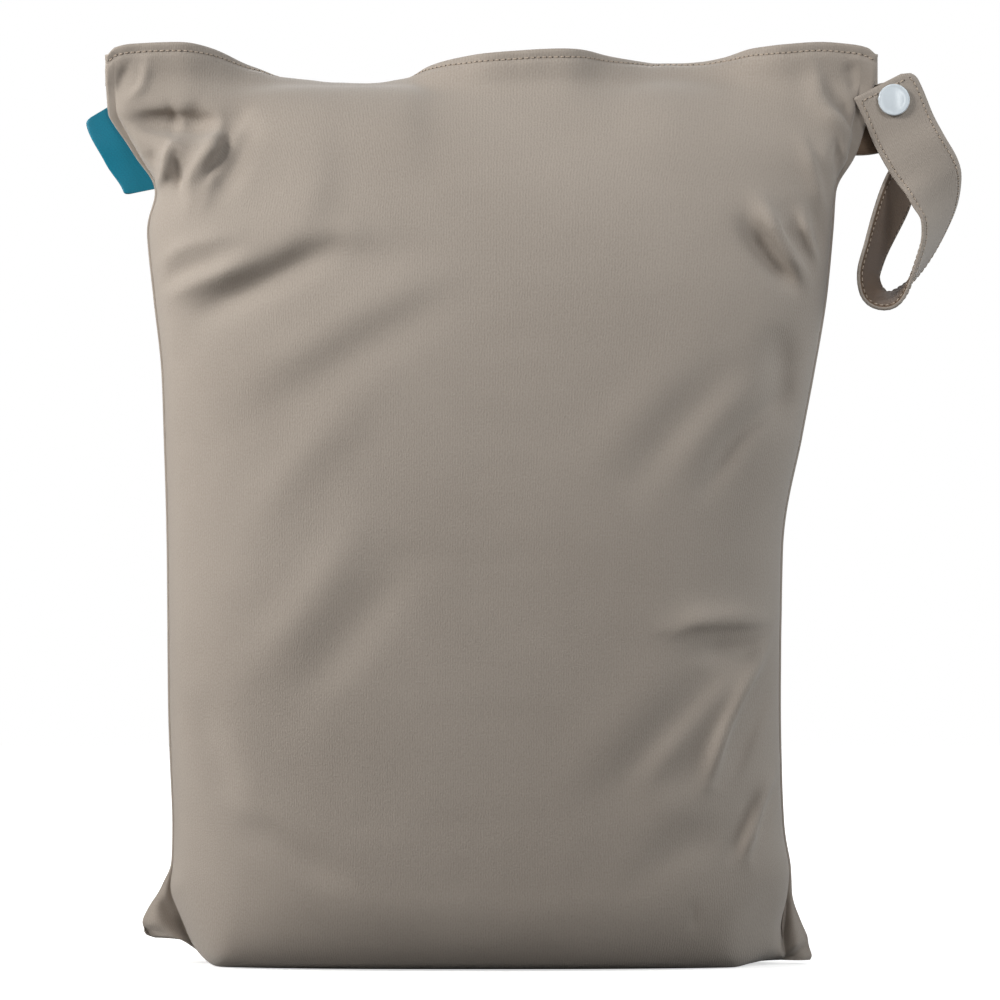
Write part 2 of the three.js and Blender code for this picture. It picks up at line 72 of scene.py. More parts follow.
STRAP_BELOW_TOP = 18.4 * MM
SNAP_OUT = 11.3 * MM
SNAP_ABOVE_STRAP = 8.4 * MM
SNAP_RADIUS = 6.2 * MM
SNAP_CAP_HEIGHT = 1.7 * MM
SNAP_BODY_RADIUS = 4.5 * MM
SNAP_BODY_HEIGHT = 2 * MM
SNAP_PIN_RADIUS = 1.5 * MM
LABEL_LENGTH = 37 * MM
LABEL_REACH = 12 * MM
LABEL_RIBBON = 0.9 * MM
LABEL_BELOW_TOP = 25 * MM
LABEL_CORNER = 1.8 * MM
ZIP_TAPE = 1.2 * MM
ZIP_HEIGHT = 10 * MM
ZIP_BELOW_RIM = 1.5 * MM
TOOTH_PITCH = 1.5 * MM
TOOTH_LENGTH = 2.4 * MM
TOOTH_RADIUS = 0.5 * MM
RIBBON_WEAVE = 0.5 * MM
RIBBON_DEPTH = 0.1 * MM
KNIT_DEPTH = 0.12 * MM
LABEL_SEAM_HIGHLIGHT_WIDTH = 0.7 * MM

# Shares of each crease's depth: shaped into the cloth before it settles, and pressed in afterwards.
SOFT_CREASE = 0.7
SHARP_CREASE = 0.9
SHARP_WIDTH = 0.62
FINE_CREASE = 6
EAR_PUFF = 6 * MM

# How finely the panels are meshed, and how their cloth settles.
BODY_COLUMNS = 50
FIN_COLUMNS = 7
ROW_STEP = 2.7 * MM
HEM_STEP = 0.9 * MM
HEM_ROWS = 26
HEM_TURN_ROWS = 11
EDGE_COLUMNS = 4
CLOTH_SPARE = -0.004
AIR_PRESSURE = 0.6
LIGHT_HOLD = 0.2
SETTLE_FRAMES = 20
MOST_MOVED = 4 * MM
SOFTENING = 14

# Sections from the foot seam to the rim. up and rise are shares of the bag's height, in the middle
# and at the side seams; depth of half the depth; left and right of half the mouth; ear of the ear length.
SECTION_COLUMNS = "up rise_left rise_right depth left right ear_left ear_right".split()
SECTIONS = np.array([
    [0, 0.028, 0.004, 0, 0.835, 0.868, 1, 0.4],
    [0, 0.031, 0.009, 0.27, 0.856, 0.873, 0.95, 0.4],
    [0, 0.042, 0.022, 0.58, 0.866, 0.866, 0.75, 0.38],
    [0.008, 0.062, 0.042, 0.76, 0.848, 0.848, 0.4, 0.3],
    [0.033, 0.086, 0.075, 0.9, 0.815, 0.822, 0.1, 0.05],
    [0.078, 0.112, 0.105, 0.98, 0.791, 0.818, 0, 0],
    [0.15, 0.153, 0.152, 1, 0.789, 0.801, 0, 0],
    [0.28, 0.28, 0.28, 1, 0.8, 0.792, 0, 0],
    [0.45, 0.45, 0.45, 0.97, 0.804, 0.798, 0, 0],
    [0.57, 0.57, 0.57, 0.91, 0.812, 0.848, 0, 0],
    [0.64, 0.64, 0.64, 0.86, 0.818, 0.88, 0, 0],
    [0.725, 0.725, 0.725, 0.76, 0.84, 0.914, 0, 0],
    [0.795, 0.795, 0.795, 0.64, 0.856, 0.93, 0, 0],
    [0.838, 0.838, 0.838, 0.54, 0.834, 0.937, 0, 0],
    [0.88, 0.88, 0.88, 0.4, 0.893, 0.99, 0.05, 0.1],
    [0.93, 0.93, 0.93, 0.18, 0.958, 1.024, 0.1, 0.18],
    [0.965, 0.965, 0.965, 0.03, 0.962, 1.037, 0.1, 0.18],
    [1, 1, 1, 0, 0.962, 1.043, 0.1, 0.18],
])
LAST_SECTION = len(SECTIONS) - 1

# The wavy mouth: across is a share of half the mouth, drop of the height, and roll the degrees that
# the rim leans back.
MOUTH_COLUMNS = "across drop roll".split()
MOUTH = np.array([
    [-0.965, 0.015, 0], [-0.943, 0.006, 0], [-0.9, 0.002, 0], [-0.77, 0, 0],
    [-0.69, 0.006, 25], [-0.61, 0.011, 60],
    [-0.48, 0.004, 100], [-0.29, 0.003, 112], [-0.19, 0.004, 100], [-0.1, 0.017, 45], [0.06, 0.011, 5],
    [0.23, 0.007, 0], [0.35, 0.011, 40], [0.5, 0.002, 75], [0.65, 0.007, 55], [0.73, 0.006, 20],
    [0.82, 0.002, 0], [0.9, 0, 0], [0.98, 0.0025, 0],
    [1.024, 0.0065, 0], [1.045, 0.014, 0],
])

# Folds, ridges positive and dents negative: across as a share of half the mouth, up of the height,
# the turn in degrees from level as seen from the front, the length and width as shares of the height,
# and the push of half the depth.
FRONT_FOLDS = np.array([
    [-0.54, 0.736, 26, 0.17, 0.030, -0.07],
    [-0.7, 0.74, 20, 0.12, 0.022, 0.05],
    [-0.69, 0.863, 78, 0.1, 0.018, 0.08],
    [-0.62, 0.862, 63, 0.07, 0.018, -0.07],
    [-0.76, 0.905, -10, 0.11, 0.018, -0.07],
    [-0.73, 0.91, 90, 0.05, 0.014, -0.05],
    [-0.8, 0.862, 62, 0.06, 0.016, 0.05],
    [-0.67, 0.23, -71, 0.13, 0.035, -0.04],
    [-0.48, 0.13, -31, 0.14, 0.035, -0.04],
    [0.79, 0.78, -60, 0.1, 0.020, 0.07],
    [0.76, 0.763, -52, 0.09, 0.018, -0.06],
    [0.84, 0.79, -68, 0.07, 0.014, -0.04],
    [0.87, 0.782, -71, 0.06, 0.014, 0.05],
    [0.92, 0.86, -75, 0.06, 0.016, 0.05],
    [0.79, 0.631, 90, 0.1, 0.034, -0.08],
    [0.67, 0.268, 66, 0.15, 0.020, 0.08],
    [0.71, 0.258, 66, 0.13, 0.016, -0.06],
    [0.73, 0.16, 70, 0.08, 0.018, 0.06],
    [0.69, 0.158, 70, 0.08, 0.016, -0.04],
    [0.56, 0.263, 48, 0.17, 0.030, 0.05],
    [0.93, 0.945, 88, 0.07, 0.020, -0.05],
])
BACK_FOLDS = np.array([
    [0.55, 0.75, 28, 0.16, 0.030, -0.07],
    [0.68, 0.82, 60, 0.1, 0.022, 0.06],
    [0.72, 0.9, -15, 0.1, 0.018, -0.06],
    [-0.62, 0.8, -62, 0.12, 0.024, 0.06],
    [-0.7, 0.66, 84, 0.12, 0.030, -0.07],
    [-0.6, 0.26, 58, 0.15, 0.026, 0.05],
    [-0.7, 0.25, 62, 0.12, 0.020, -0.05],
    [0.6, 0.24, -64, 0.15, 0.026, -0.06],
    [0.5, 0.13, -30, 0.14, 0.030, 0.05],
])

# Creases in millimetres, seen from the front: push outwards, how wide the crease is to the left and to
# the right of its line, looking along it, and the line itself as (across, up) points.
FRONT_CREASES = [
    # The hem's corner at the label, and the gathers under it.
    (-3.2, 5, 8, [(-138, 329), (-120, 330.5), (-102, 329), (-90, 327)]),
    (-1.2, 2.5, 2.5, [(-120, 337), (-118.5, 325)]),
    (1.2, 3, 3, [(-128.5, 354), (-130.5, 344), (-136.5, 338)]),
    (-1.3, 3, 3, [(-136.5, 352), (-141, 341)]),
    (2.4, 2.8, 2, [(-125.5, 303), (-121.6, 308), (-120.4, 314),
                   (-119.1, 317.3), (-117.4, 319.4), (-114, 317.5)]),
    (-2.2, 2.8, 2.8, [(-117.5, 316), (-116, 309), (-115.5, 302)]),
    (-1.6, 4, 4, [(-128, 318), (-125, 311)]),
    (3.2, 6.5, 2.8, [(-110.2, 297.7), (-110.2, 302.8), (-106.3, 311.3),
                     (-100.8, 318.1), (-98.7, 323.2), (-99, 327.5)]),
    (-3, 3, 7, [(-92.3, 326.6), (-95.7, 323.2), (-97.4, 318.1),
                (-101.5, 311), (-104.7, 306), (-105, 301)]),
    # Broad folds that fan out from the label's corner.
    (2.6, 7, 14, [(-61.5, 325), (-61, 305), (-67.5, 289), (-84, 275), (-108, 265), (-122, 259)]),
    (2.0, 7, 7, [(-38, 284), (-55, 284.5), (-69, 279)]),
    (1.2, 5, 5, [(-92.5, 283.5), (-112, 279.5), (-124.5, 272)]),
    (-1.2, 5, 5, [(-94.5, 275), (-114, 269), (-124, 263)]),
    (-2.1, 10, 8, [(-20, 276), (-51.5, 273.5), (-77, 264.5), (-96, 253), (-110, 242)]),
    (2.0, 9, 9, [(-14, 266.5), (-38.5, 255), (-61, 242), (-84, 230.5)]),
    (-1.8, 10, 9, [(-10, 260), (-43.5, 239.5), (-69, 222.5), (-88.5, 211)]),
    (1.4, 9, 9, [(-41.5, 220.5), (-69, 193), (-84, 171.5)]),
    (2.0, 9, 9, [(-44.5, 170), (-57, 150), (-70, 132.5), (-84, 117)]),
    (-1.8, 9, 9, [(-26.5, 158), (-43.5, 134.5), (-57, 117), (-69, 101)]),
    # The full belly's edge, low on the left.
    (2.0, 18, 12, [(-94, 142), (-98, 103), (-95.5, 68), (-81.5, 47.5), (-57, 33), (-30, 27)]),
    # The hem's corner at the strap, and the folds that run down from it.
    (-1.5, 4, 4, [(146.5, 354), (149.5, 340)]),
    (1.8, 3, 6, [(133, 353), (135, 340), (142.5, 331), (149, 326.5)]),
    (2.2, 2, 6, [(134.5, 336.1), (139.3, 331.3), (143.3, 328.1), (146.5, 323.3), (148.3, 319.7)]),
    (-2.4, 3, 3, [(143.3, 338), (145.2, 331.5), (148.4, 325)]),
    (-2, 2.2, 2.2, [(140.9, 322), (141.3, 313.7), (141.3, 306)]),
    (1.6, 2.4, 2.4, [(143.4, 321.5), (144.6, 314), (143.6, 307)]),
    (1.9, 2.6, 4.5, [(127, 322.5), (129.5, 316), (134, 300.5), (136.5, 293.5)]),
    (-1.3, 3, 3, [(131, 296.5), (133, 285.5), (134, 277)]),
    (2.1, 2.6, 4.5, [(125.8, 292.5), (129, 284), (132.5, 272.5)]),
    (2.3, 4, 6.5, [(109.5, 298.5), (117, 285.5), (124.5, 273.5), (128.2, 266)]),
    (-1.7, 3.5, 3.5, [(117.5, 291.5), (122, 281), (127.5, 272.5)]),
    (-1.6, 5, 5, [(104.5, 288.5), (114.5, 275), (123.5, 264)]),
    # Diagonal folds at the middle of the right side.
    (1.4, 10, 10, [(44.5, 193), (72, 226.5), (84, 240.5)]),
    (-1.7, 8, 8, [(61, 189), (84, 216), (96.5, 228.5)]),
    (1.7, 7, 7, [(75, 190), (91.5, 211), (109.5, 228.5)]),
    (-1.7, 6, 6, [(88.5, 185.5), (102, 206.5), (120.5, 222.5)]),
    # The slack under the waist, low on the right.
    (2.3, 8, 4, [(75.5, 130.5), (86, 133.5), (99.5, 134.5), (114.5, 134.5)]),
    (-1.6, 6, 6, [(84, 122.5), (103.5, 123.5), (113.5, 126.5)]),
    (2.3, 2.6, 6.5, [(114.5, 129), (108, 115), (102, 104), (95.5, 90), (90.5, 71.5)]),
    (-1.9, 4, 4, [(112, 119), (105.5, 104), (99, 87.5), (93.5, 73.5)]),
    (1.9, 2.6, 5.5, [(118, 79), (111.5, 66.5), (107, 53), (104.3, 44), (106.2, 40.5)]),
    (-1.5, 3.5, 3.5, [(117, 71.5), (112.5, 60), (108.5, 46.5)]),
    (-2.1, 9, 9, [(95.5, 115), (80, 97), (62.5, 79.5), (48.5, 68)]),
    (1.5, 12, 12, [(80, 120.5), (56.5, 95.5), (39, 77.5)]),
    (-1.5, 7, 7, [(95.5, 53), (80, 47.5), (64.5, 38)]),
    (1.2, 8, 8, [(93.5, 66), (78, 64), (64.5, 58)]),
    (-0.5, 2.5, 2.5, [(84, 26.5), (84, 15.5)]),
]
# Folds of the two foot corners that stick out, in the same columns.
EAR_CREASES = [
    (-3.4, 3, 2.2, [(-123.5, 29), (-121.8, 23), (-119.2, 18), (-113.3, 12.5), (-107, 9)]),
    (-2.6, 2.4, 2.4, [(-133, 12.5), (-126, 12.8), (-119, 9)]),
    (1.6, 4, 3, [(-131, 24), (-128, 17), (-119, 11.5), (-108, 5.5)]),
    (-3.6, 2, 2.4, [(122.3, 32), (121.5, 24), (120.3, 15), (118.6, 6)]),
    (2.6, 3.2, 0.9, [(118.4, 1.6), (123.5, 6.2), (129, 11.2)]),
    (-2.2, 1.2, 3, [(120.5, 0.5), (125, 4), (130.5, 8.5)]),
]
BACK_CREASES = [
    (-2.6, 5, 7, [(-137, 330), (-120, 332), (-98, 328)]),
    (2.4, 3, 6, [(-125, 305), (-114, 314), (-102, 322)]),
    (-2.2, 8, 8, [(-30, 276), (-62, 268), (-100, 242)]),
    (2.2, 8, 9, [(-36, 292), (-70, 281), (-112, 258)]),
    (-2.0, 5, 6, [(143, 331), (128, 322), (108, 318)]),
    (2.3, 3, 6, [(132, 308), (122, 290), (116, 272)]),
    (-1.8, 5, 5, [(138, 300), (129, 282), (124, 262)]),
    (2.0, 9, 9, [(30, 262), (66, 240), (104, 214)]),
    (-1.8, 9, 9, [(36, 244), (70, 222), (104, 196)]),
    (2.0, 5, 8, [(-116, 132), (-98, 112), (-82, 84)]),
    (-1.8, 5, 5, [(-108, 112), (-94, 90), (-84, 70)]),
    (2.2, 4, 7, [(118, 118), (104, 96), (96, 66)]),
    (-1.7, 5, 5, [(111, 92), (102, 66), (98, 46)]),
    (1.6, 12, 12, [(-60, 170), (-30, 120), (-14, 70)]),
    (-1.5, 12, 12, [(20, 180), (38, 130), (44, 80)]),
    (-0.9, 3, 3, [(8, 250), (10, 210), (9, 170)]),
]

# The strap from its root in the side seam, round the loop, to the snapped end: out as a share of
# STRAP_REACH, back of STRAP_WIDTH, lap of LAYER_STEP and up of STRAP_DROP. The last three numbers point
# to the strap's near edge.
STRAP_ROUTE = np.array([
    [0, 0, 0, 0, 0, 0, -1],
    [0.15, 0, 0, 0.02, 0.12, 0, -1],
    [0.29, 0, 0, 0.05, 0.06, 0, -1],
    [0.38, 0.03, 0, 0.045, 0, 0, -1],
    [0.45, 0.17, 0, 0, -0.05, -0.2, -0.97],
    [0.49, 0.34, 0, -0.07, -0.12, -0.55, -0.8],
    [0.5, 0.49, 0, -0.14, -0.25, -0.85, -0.4],
    [0.48, 0.53, 0, -0.21, -0.36, -0.92, -0.12],
    [0.43, 0.48, 0, -0.28, -0.45, -0.88, 0.05],
    [0.35, 0.36, 0, -0.37, -0.5, -0.85, 0.12],
    [0.26, 0.24, 0, -0.48, -0.48, -0.87, 0.12],
    [0.17, 0.13, 0, -0.6, -0.42, -0.9, 0.05],
    [0.09, 0.05, 0, -0.73, -0.38, -0.9, -0.1],
    [0.04, 0, 0, -0.84, -0.36, -0.88, -0.26],
    [0.09, 0, 0, -0.94, -0.33, -0.84, -0.38],
    [0.24, 0, 0, -0.97, -0.28, -0.83, -0.42],
    [0.4, 0, 0, -0.9, -0.26, -0.86, -0.36],
    [0.55, 0, 0, -0.77, -0.3, -0.9, -0.22],
    [0.67, -0.04, 0, -0.62, -0.36, -0.92, -0.08],
    [0.72, -0.12, 0, -0.48, -0.6, -0.8, -0.05],
    [0.66, -0.18, 0.3, -0.32, -0.86, -0.25, -0.42],
    [0.5, -0.06, 1, -0.17, -0.86, 0, -0.5],
    [0.37, 0, 1, -0.03, -0.86, 0, -0.51],
    [0.27, 0, 1, 0.11, -0.85, 0, -0.53],
    [0.18, 0, 1, 0.21, -0.84, 0, -0.54],
])

# Colours as the eye sees them in even light, red green blue, apart from the painted shade and painted
# highlight marked below.
CLOTH_LIGHT = (0.665, 0.625, 0.585)
CLOTH_DARK = (0.60, 0.56, 0.52)
THREAD = (0.70, 0.64, 0.575)
LABEL_TEAL = (0.0, 0.47, 0.57)
# Painted shade: the strap's face on the inside of the loop, the same cloth painted darker and browner where
# it lies in shadow.
STRAP_INNER_SHADE_PALE = (0.48, 0.40, 0.33)
STRAP_INNER_SHADE_DEEP = (0.41, 0.335, 0.27)
SNAP_WHITE = (0.845, 0.88, 0.905)
ZIP_BEIGE = (0.56, 0.50, 0.45)
# Painted highlight: the pale line along the label's sewn edge, for the light caught by the seam.
LABEL_SEAM_HIGHLIGHT = (0.62, 0.72, 0.72)
# Painted shade: the dark of the needle holes beside the stitches, for the shadow inside each hole.
NEEDLE_HOLE_SHADE = (0.3, 0.26, 0.22)
FLOOR_PAPER = (0.97, 0.97, 0.965)
FLOOR_SHADE = (0.6, 0.6, 0.6)
FLOOR_GLOW = 0.62
FLOOR_FADE = (0.5, 1.2)
FLOOR_HALF = 3.0


def linear(colour):
    return tuple(((c + 0.055) / 1.055) ** 2.4 if c > 0.04045 else c / 12.92 for c in colour) + (1,)


def smoothstep(x, low, high):
    t = np.clip((x - low) / (high - low), 0, 1)
    return t * t * (3 - 2 * t)


def read(keys, values, at):
    """Monotone cubic through one column of a table, so that nothing overshoots between its rows."""
    at = np.clip(at, keys[0], keys[-1])
    step = np.diff(keys)
    slope = np.diff(values) / step
    tangent = np.concatenate([slope[:1], np.zeros(len(keys) - 2), slope[-1:]])
    product = slope[:-1] * slope[1:]
    same = product > 0
    tangent[1:-1][same] = 2 * product[same] / (slope[:-1] + slope[1:])[same]
    i = np.clip(np.searchsorted(keys, at, side="right") - 1, 0, len(keys) - 2)
    t = (at - keys[i]) / step[i]
    start = values[i] * (1 + 2 * t) * (1 - t) ** 2 + step[i] * tangent[i] * t * (1 - t) ** 2
    return start + values[i + 1] * (3 - 2 * t) * t * t + step[i] * tangent[i + 1] * (t - 1) * t * t


def section(name, station):
    return read(np.arange(LAST_SECTION + 1.0), SECTIONS[:, SECTION_COLUMNS.index(name)], station)


def mouth(name, x):
    return read(MOUTH[:, 0], MOUTH[:, MOUTH_COLUMNS.index(name)], x / HALF_MOUTH)


def rim_height(x):
    return BAG_HEIGHT * (1 - mouth("drop", x))


def roll_back(x, y, z):
    """Leans the part of the bag above ROLL_HEIGHT backwards, more towards the rim."""
    start = BAG_HEIGHT - ROLL_HEIGHT
    length = rim_height(x) - start
    lean = np.radians(mouth("roll", x))
    reach = np.maximum(z - start, 0)
    steps = 24
    back = np.zeros_like(x)
    up = np.zeros_like(x)
    for i in range(steps):
        angle = lean * ((i + 0.5) / steps * reach / length) ** 2
        back += np.sin(angle) * reach / steps
        up += np.cos(angle) * reach / steps
    angle = lean * (reach / length) ** 2
    low = np.minimum(z, start)
    return x, back + y * np.cos(angle), low + up - y * np.sin(angle)


def fold_push(folds, x, z):
    total = np.zeros_like(x)
    for across, up, turn, length, width, push in folds:
        c, s = math.cos(math.radians(turn)), math.sin(math.radians(turn))
        dx, dz = x - across * HALF_MOUTH, z - up * BAG_HEIGHT
        along = np.abs(dx * c + dz * s) / (length * BAG_HEIGHT * 0.5)
        off = (dz * c - dx * s) / (width * BAG_HEIGHT * 0.5)
        total += push * HALF_DEPTH * np.exp(-off * off) * (1 - smoothstep(along, 0.3, 1.3))
    return total


def line_points(points, count=40):
    """Even samples along a smooth line through a few points, and how far along each one lies, 0 to 1."""
    points = np.array(points, float)
    keys = np.concatenate([[0], np.cumsum(np.hypot(*np.diff(points, axis=0).T))])
    at = np.linspace(0, keys[-1], count)
    return np.stack([read(keys, points[:, k], at) for k in range(2)], -1), at / keys[-1]


def crease_push(creases, x, z, narrow=1.0):
    """Sum of the creases at each point: soft ridges and dents along lines, fading towards both ends."""
    total = np.zeros(x.shape)
    place = np.stack([x, z], -1)
    for push, left, right, points in creases:
        line, share = line_points(points)
        line = line * MM
        reach = 3 * max(right, left) * MM
        near = ((x > line[:, 0].min() - reach) & (x < line[:, 0].max() + reach)
                & (z > line[:, 1].min() - reach) & (z < line[:, 1].max() + reach))
        if not near.any():
            continue
        at = place[near]
        away = at[:, None] - line[None]
        k = np.argmin((away ** 2).sum(-1), 1)
        ahead = np.gradient(line, axis=0)[k]
        off = away[np.arange(len(k)), k]
        cross = ahead[:, 0] * off[:, 1] - ahead[:, 1] * off[:, 0]
        distance = np.hypot(off[:, 0], off[:, 1])
        width = np.where(cross > 0, left, right) * MM * narrow
        fade = smoothstep(share[k], -0.05, 0.35) * (1 - smoothstep(share[k], 0.65, 1.05))
        total[near] += push * MM * np.exp(-(distance / width) ** 2) * (0.25 + 0.75 * fade)
    return total


def even_shares(count):
    """Shares of a section's half width that lie evenly spaced round a nominal section."""
    w = np.linspace(0, 1, 2001)
    y = HALF_DEPTH * (1 - w ** FULLNESS) ** (1 / FULLNESS)
    path = np.concatenate([[0], np.cumsum(np.hypot(np.diff(w) * HALF_MOUTH * 0.8, np.diff(y)))])
    return np.interp(np.linspace(0, path[-1], count + 1), path, w)


def panel_columns(body, fins):
    share = np.concatenate([even_shares(body), np.ones(fins)])
    fin = np.concatenate([np.zeros(body + 1), np.linspace(0, 1, fins + 1)[1:]])
    side = np.ones_like(share)
    return (np.concatenate([-side[:0:-1], side]), np.concatenate([share[:0:-1], share]),
            np.concatenate([fin[:0:-1], fin]))


def panel_stations(step, hem_step):
    """Stations of the rows, even between two sections, and closer in the two sections of the hem."""
    stations = [0.0]
    for i in range(LAST_SECTION):
        rise = (SECTIONS[i + 1, 0] - SECTIONS[i, 0]) * BAG_HEIGHT
        run = (SECTIONS[i + 1, 3] - SECTIONS[i, 3]) * HALF_DEPTH
        count = max(1, round(math.hypot(rise, run) / (hem_step if i == LAST_SECTION - 1 else step)))
        stations += [i + (k + 1) / count for k in range(count)]
    return np.array(stations)


def seam_half_gap(z):
    opened = smoothstep(z, BAG_HEIGHT * 0.775, BAG_HEIGHT * 0.815)
    return GAP / 2 + (SEAM_OPENING - GAP / 2) * opened


def place(station, side, share, fin):
    """Where a column crosses a section: x, the height before the roll, the roundness, the corner's lift,
    the share of an ear, and how far that ear is puffed."""
    left = side < 0
    half = HALF_MOUTH * np.where(left, section("left", station), section("right", station))
    ear = np.where(left, section("ear_left", station), section("ear_right", station))
    flat = SEAM_FIN + EAR_LENGTH * ear
    x = side * np.where(fin > 0, half - flat * (1 - fin), (half - flat) * share)
    up = section("up", station)
    rise = np.where(left, section("rise_left", station), section("rise_right", station))
    lift = smoothstep(np.abs(x) / half, 0.77, 0.93)
    z = BAG_HEIGHT * (up + (rise - up) * lift)
    above = BAG_HEIGHT - ROLL_HEIGHT
    z = np.where(z > above, above + (z - above) * (rim_height(x) - above) / ROLL_HEIGHT, z)
    corner = np.minimum(1, 4 * ear) * (1 - smoothstep(station, 4, 5))
    puff = np.sin(math.pi * fin) * np.sqrt(ear) * corner
    return x, z, (1 - share ** FULLNESS) ** (1 / FULLNESS), lift, corner, puff


def crease_weight(z, rounded):
    return np.minimum(1, 0.25 + rounded * 1.5) * smoothstep(z, 4 * MM, 20 * MM)


def outer_depth(front, x, z, station, rounded, lift, corner, puff):
    """How far the panel's outer face stands out from the seam plane."""
    foot = np.clip(1 - station, 0, 1)
    fade = np.minimum(1, rounded * 1.6) * smoothstep(z, 12 * MM, 40 * MM)
    fade = fade * (1 - smoothstep(z, 335 * MM, 350 * MM))
    fold = fold_push(FRONT_FOLDS if front else BACK_FOLDS, x, z) * fade
    fine = crease_push(FRONT_CREASES if front else BACK_CREASES, x, z)
    fold = fold + SOFT_CREASE * fine * crease_weight(z, rounded)
    fold = fold + EAR_PUFF * puff + crease_push(EAR_CREASES, x, z) * corner
    below_rim = rim_height(x) - z
    hem = 1 - smoothstep(below_rim, STITCH_LINE + 1 * MM, HEM_HEIGHT + 6 * MM)
    wall = CLOTH * (1 - foot * (1 - lift)) + (HEM_FOLD - CLOTH) * hem
    groove = np.exp(-((below_rim - STITCH_LINE) / (1.1 * MM)) ** 2)
    pucker = np.sin(x / (2.9 * MM)) + 0.8 * np.sin(x / (1.7 * MM) + 1.3) + 0.6 * np.sin(x / (4.7 * MM) + 4)
    near_stitch = np.exp(-((below_rim - STITCH_LINE) / (4.5 * MM)) ** 2)
    wall = wall - 0.55 * MM * groove + 0.16 * MM * pucker * near_stitch
    depth = HALF_DEPTH * section("depth", station)
    spread = GAP / 2 + (SEAM_OPENING - GAP / 2) * smoothstep(z, BAG_HEIGHT * 0.5, BAG_HEIGHT * 0.94)
    at_seam = 1 - smoothstep(rounded, 0, 0.5)
    return depth * rounded + fold + spread + (seam_half_gap(z) - spread) * at_seam + wall


def panel_sheet(front):
    """The outer face of one panel as a grid of points: rows of stations, columns from seam to seam."""
    side, share, fin = panel_columns(BODY_COLUMNS, FIN_COLUMNS)
    stations = panel_stations(ROW_STEP, HEM_STEP)
    station = np.repeat(stations[:, None], len(side), 1)
    side, share, fin = (np.repeat(a[None, :], len(stations), 0) for a in (side, share, fin))
    x, z, rounded, lift, corner, puff = place(station, side, share, fin)
    out = outer_depth(front, x, z, station, rounded, lift, corner, puff)
    foot = np.clip(1 - station, 0, 1)
    y = FOOT_SEAM_BACK * rounded * foot + (-out if front else out)
    return np.stack([x, y, z], -1), crease_weight(z, rounded)


def turn_edges(sheet, front):
    """Adds columns that turn the cloth's edge round at both side seams, towards the other panel."""
    sign = -1 if front else 1
    columns = [sheet]
    for edge, way in ((sheet[:, :1], -1), (sheet[:, -1:], 1)):
        radius = (np.abs(edge[..., 1]) - seam_half_gap(edge[..., 2]) + SEAM_PRESS) / 2
        turned = []
        for angle in np.radians([50, 100, 145, 180]):
            column = edge.copy()
            column[..., 0] += way * radius * np.sin(angle)
            column[..., 1] -= sign * radius * (1 - np.cos(angle))
            turned.append(column)
        if way < 0:
            columns = turned[::-1] + columns
        else:
            columns = columns + turned
    return np.concatenate(columns, 1)


def turn_hem(sheet, front):
    """Adds rows that turn the hem over the rim and down inside it."""
    sign = -1 if front else 1
    rim = sheet[-1]
    radius = HEM_FOLD / 2
    rows = []
    for angle in np.radians([30, 60, 90, 120, 150, 180]):
        row = rim.copy()
        row[:, 1] = rim[:, 1] - sign * radius * (1 - np.cos(angle))
        row[:, 2] = rim[:, 2] + radius * np.sin(angle) - radius * 0.9
        rows.append(row)
    for share in (0.12, 0.3, 0.5, 0.75, 1):
        row = rows[5].copy()
        row[:, 2] -= share * HEM_HEIGHT
        rows.append(row)
    sheet = sheet.copy()
    sheet[-1, :, 2] -= radius * 0.9
    return np.concatenate([sheet, np.stack(rows)])


def mesh_from_grid(name, grid, flip, closed=False):
    rows, columns = grid.shape[:2]
    mesh = bpy.data.meshes.new(name)
    ids = np.arange(rows * columns).reshape(rows, columns)
    if closed:
        ids = np.concatenate([ids, ids[:, :1]], 1)
    quads = np.stack([ids[:-1, :-1], ids[:-1, 1:], ids[1:, 1:], ids[1:, :-1]], -1).reshape(-1, 4)
    if flip:
        quads = quads[:, ::-1]
    mesh.from_pydata(grid.reshape(-1, 3).tolist(), [], quads.tolist())
    obj = bpy.data.objects.new(name, mesh)
    bpy.context.scene.collection.objects.link(obj)
    return obj


def lay_uv(obj, u, v):
    """Writes a UV map in metres on the cloth from one (u, v) pair for each vertex."""
    layer = obj.data.uv_layers.new(name="cloth")
    index = np.empty(len(obj.data.loops), dtype=np.int32)
    obj.data.loops.foreach_get("vertex_index", index)
    layer.data.foreach_set("uv", np.stack([u[index], v[index]], -1).astype(np.float32).ravel())


def relax_cloth(obj, held):
    """Lets the cloth settle with a little spare length and air pressure; held is 1 where it is sewn."""
    start = read_points(obj)
    group = obj.vertex_groups.new(name="held")
    for weight in np.unique(held):
        group.add(np.nonzero(held == weight)[0].tolist(), float(weight), "REPLACE")
    cloth = obj.modifiers.new("cloth", "CLOTH")
    cloth.settings.quality = 6
    cloth.settings.mass = 0.15
    cloth.settings.tension_stiffness = 12
    cloth.settings.compression_stiffness = 12
    cloth.settings.shear_stiffness = 4
    cloth.settings.bending_stiffness = 4
    cloth.settings.vertex_group_mass = "held"
    cloth.settings.pin_stiffness = 0.6
    cloth.settings.shrink_min = CLOTH_SPARE
    cloth.settings.use_pressure = True
    cloth.settings.uniform_pressure_force = AIR_PRESSURE
    cloth.settings.effector_weights.gravity = 0
    cloth.collision_settings.use_collision = False
    cloth.point_cache.frame_start = 1
    cloth.point_cache.frame_end = SETTLE_FRAMES
    scene = bpy.context.scene
    for moment in range(1, SETTLE_FRAMES + 1):
        scene.frame_set(moment)
    graph = bpy.context.evaluated_depsgraph_get()
    settled = bpy.data.meshes.new_from_object(obj.evaluated_get(graph))
    end = np.empty(len(settled.vertices) * 3)
    settled.vertices.foreach_get("co", end)
    bpy.data.meshes.remove(settled)
    obj.modifiers.clear()
    scene.frame_set(1)
    moved = end.reshape(-1, 3) - start
    length = np.linalg.norm(moved, axis=1, keepdims=True)
    capped = moved * np.minimum(1, MOST_MOVED / np.maximum(length, 1e-9))
    return start + capped


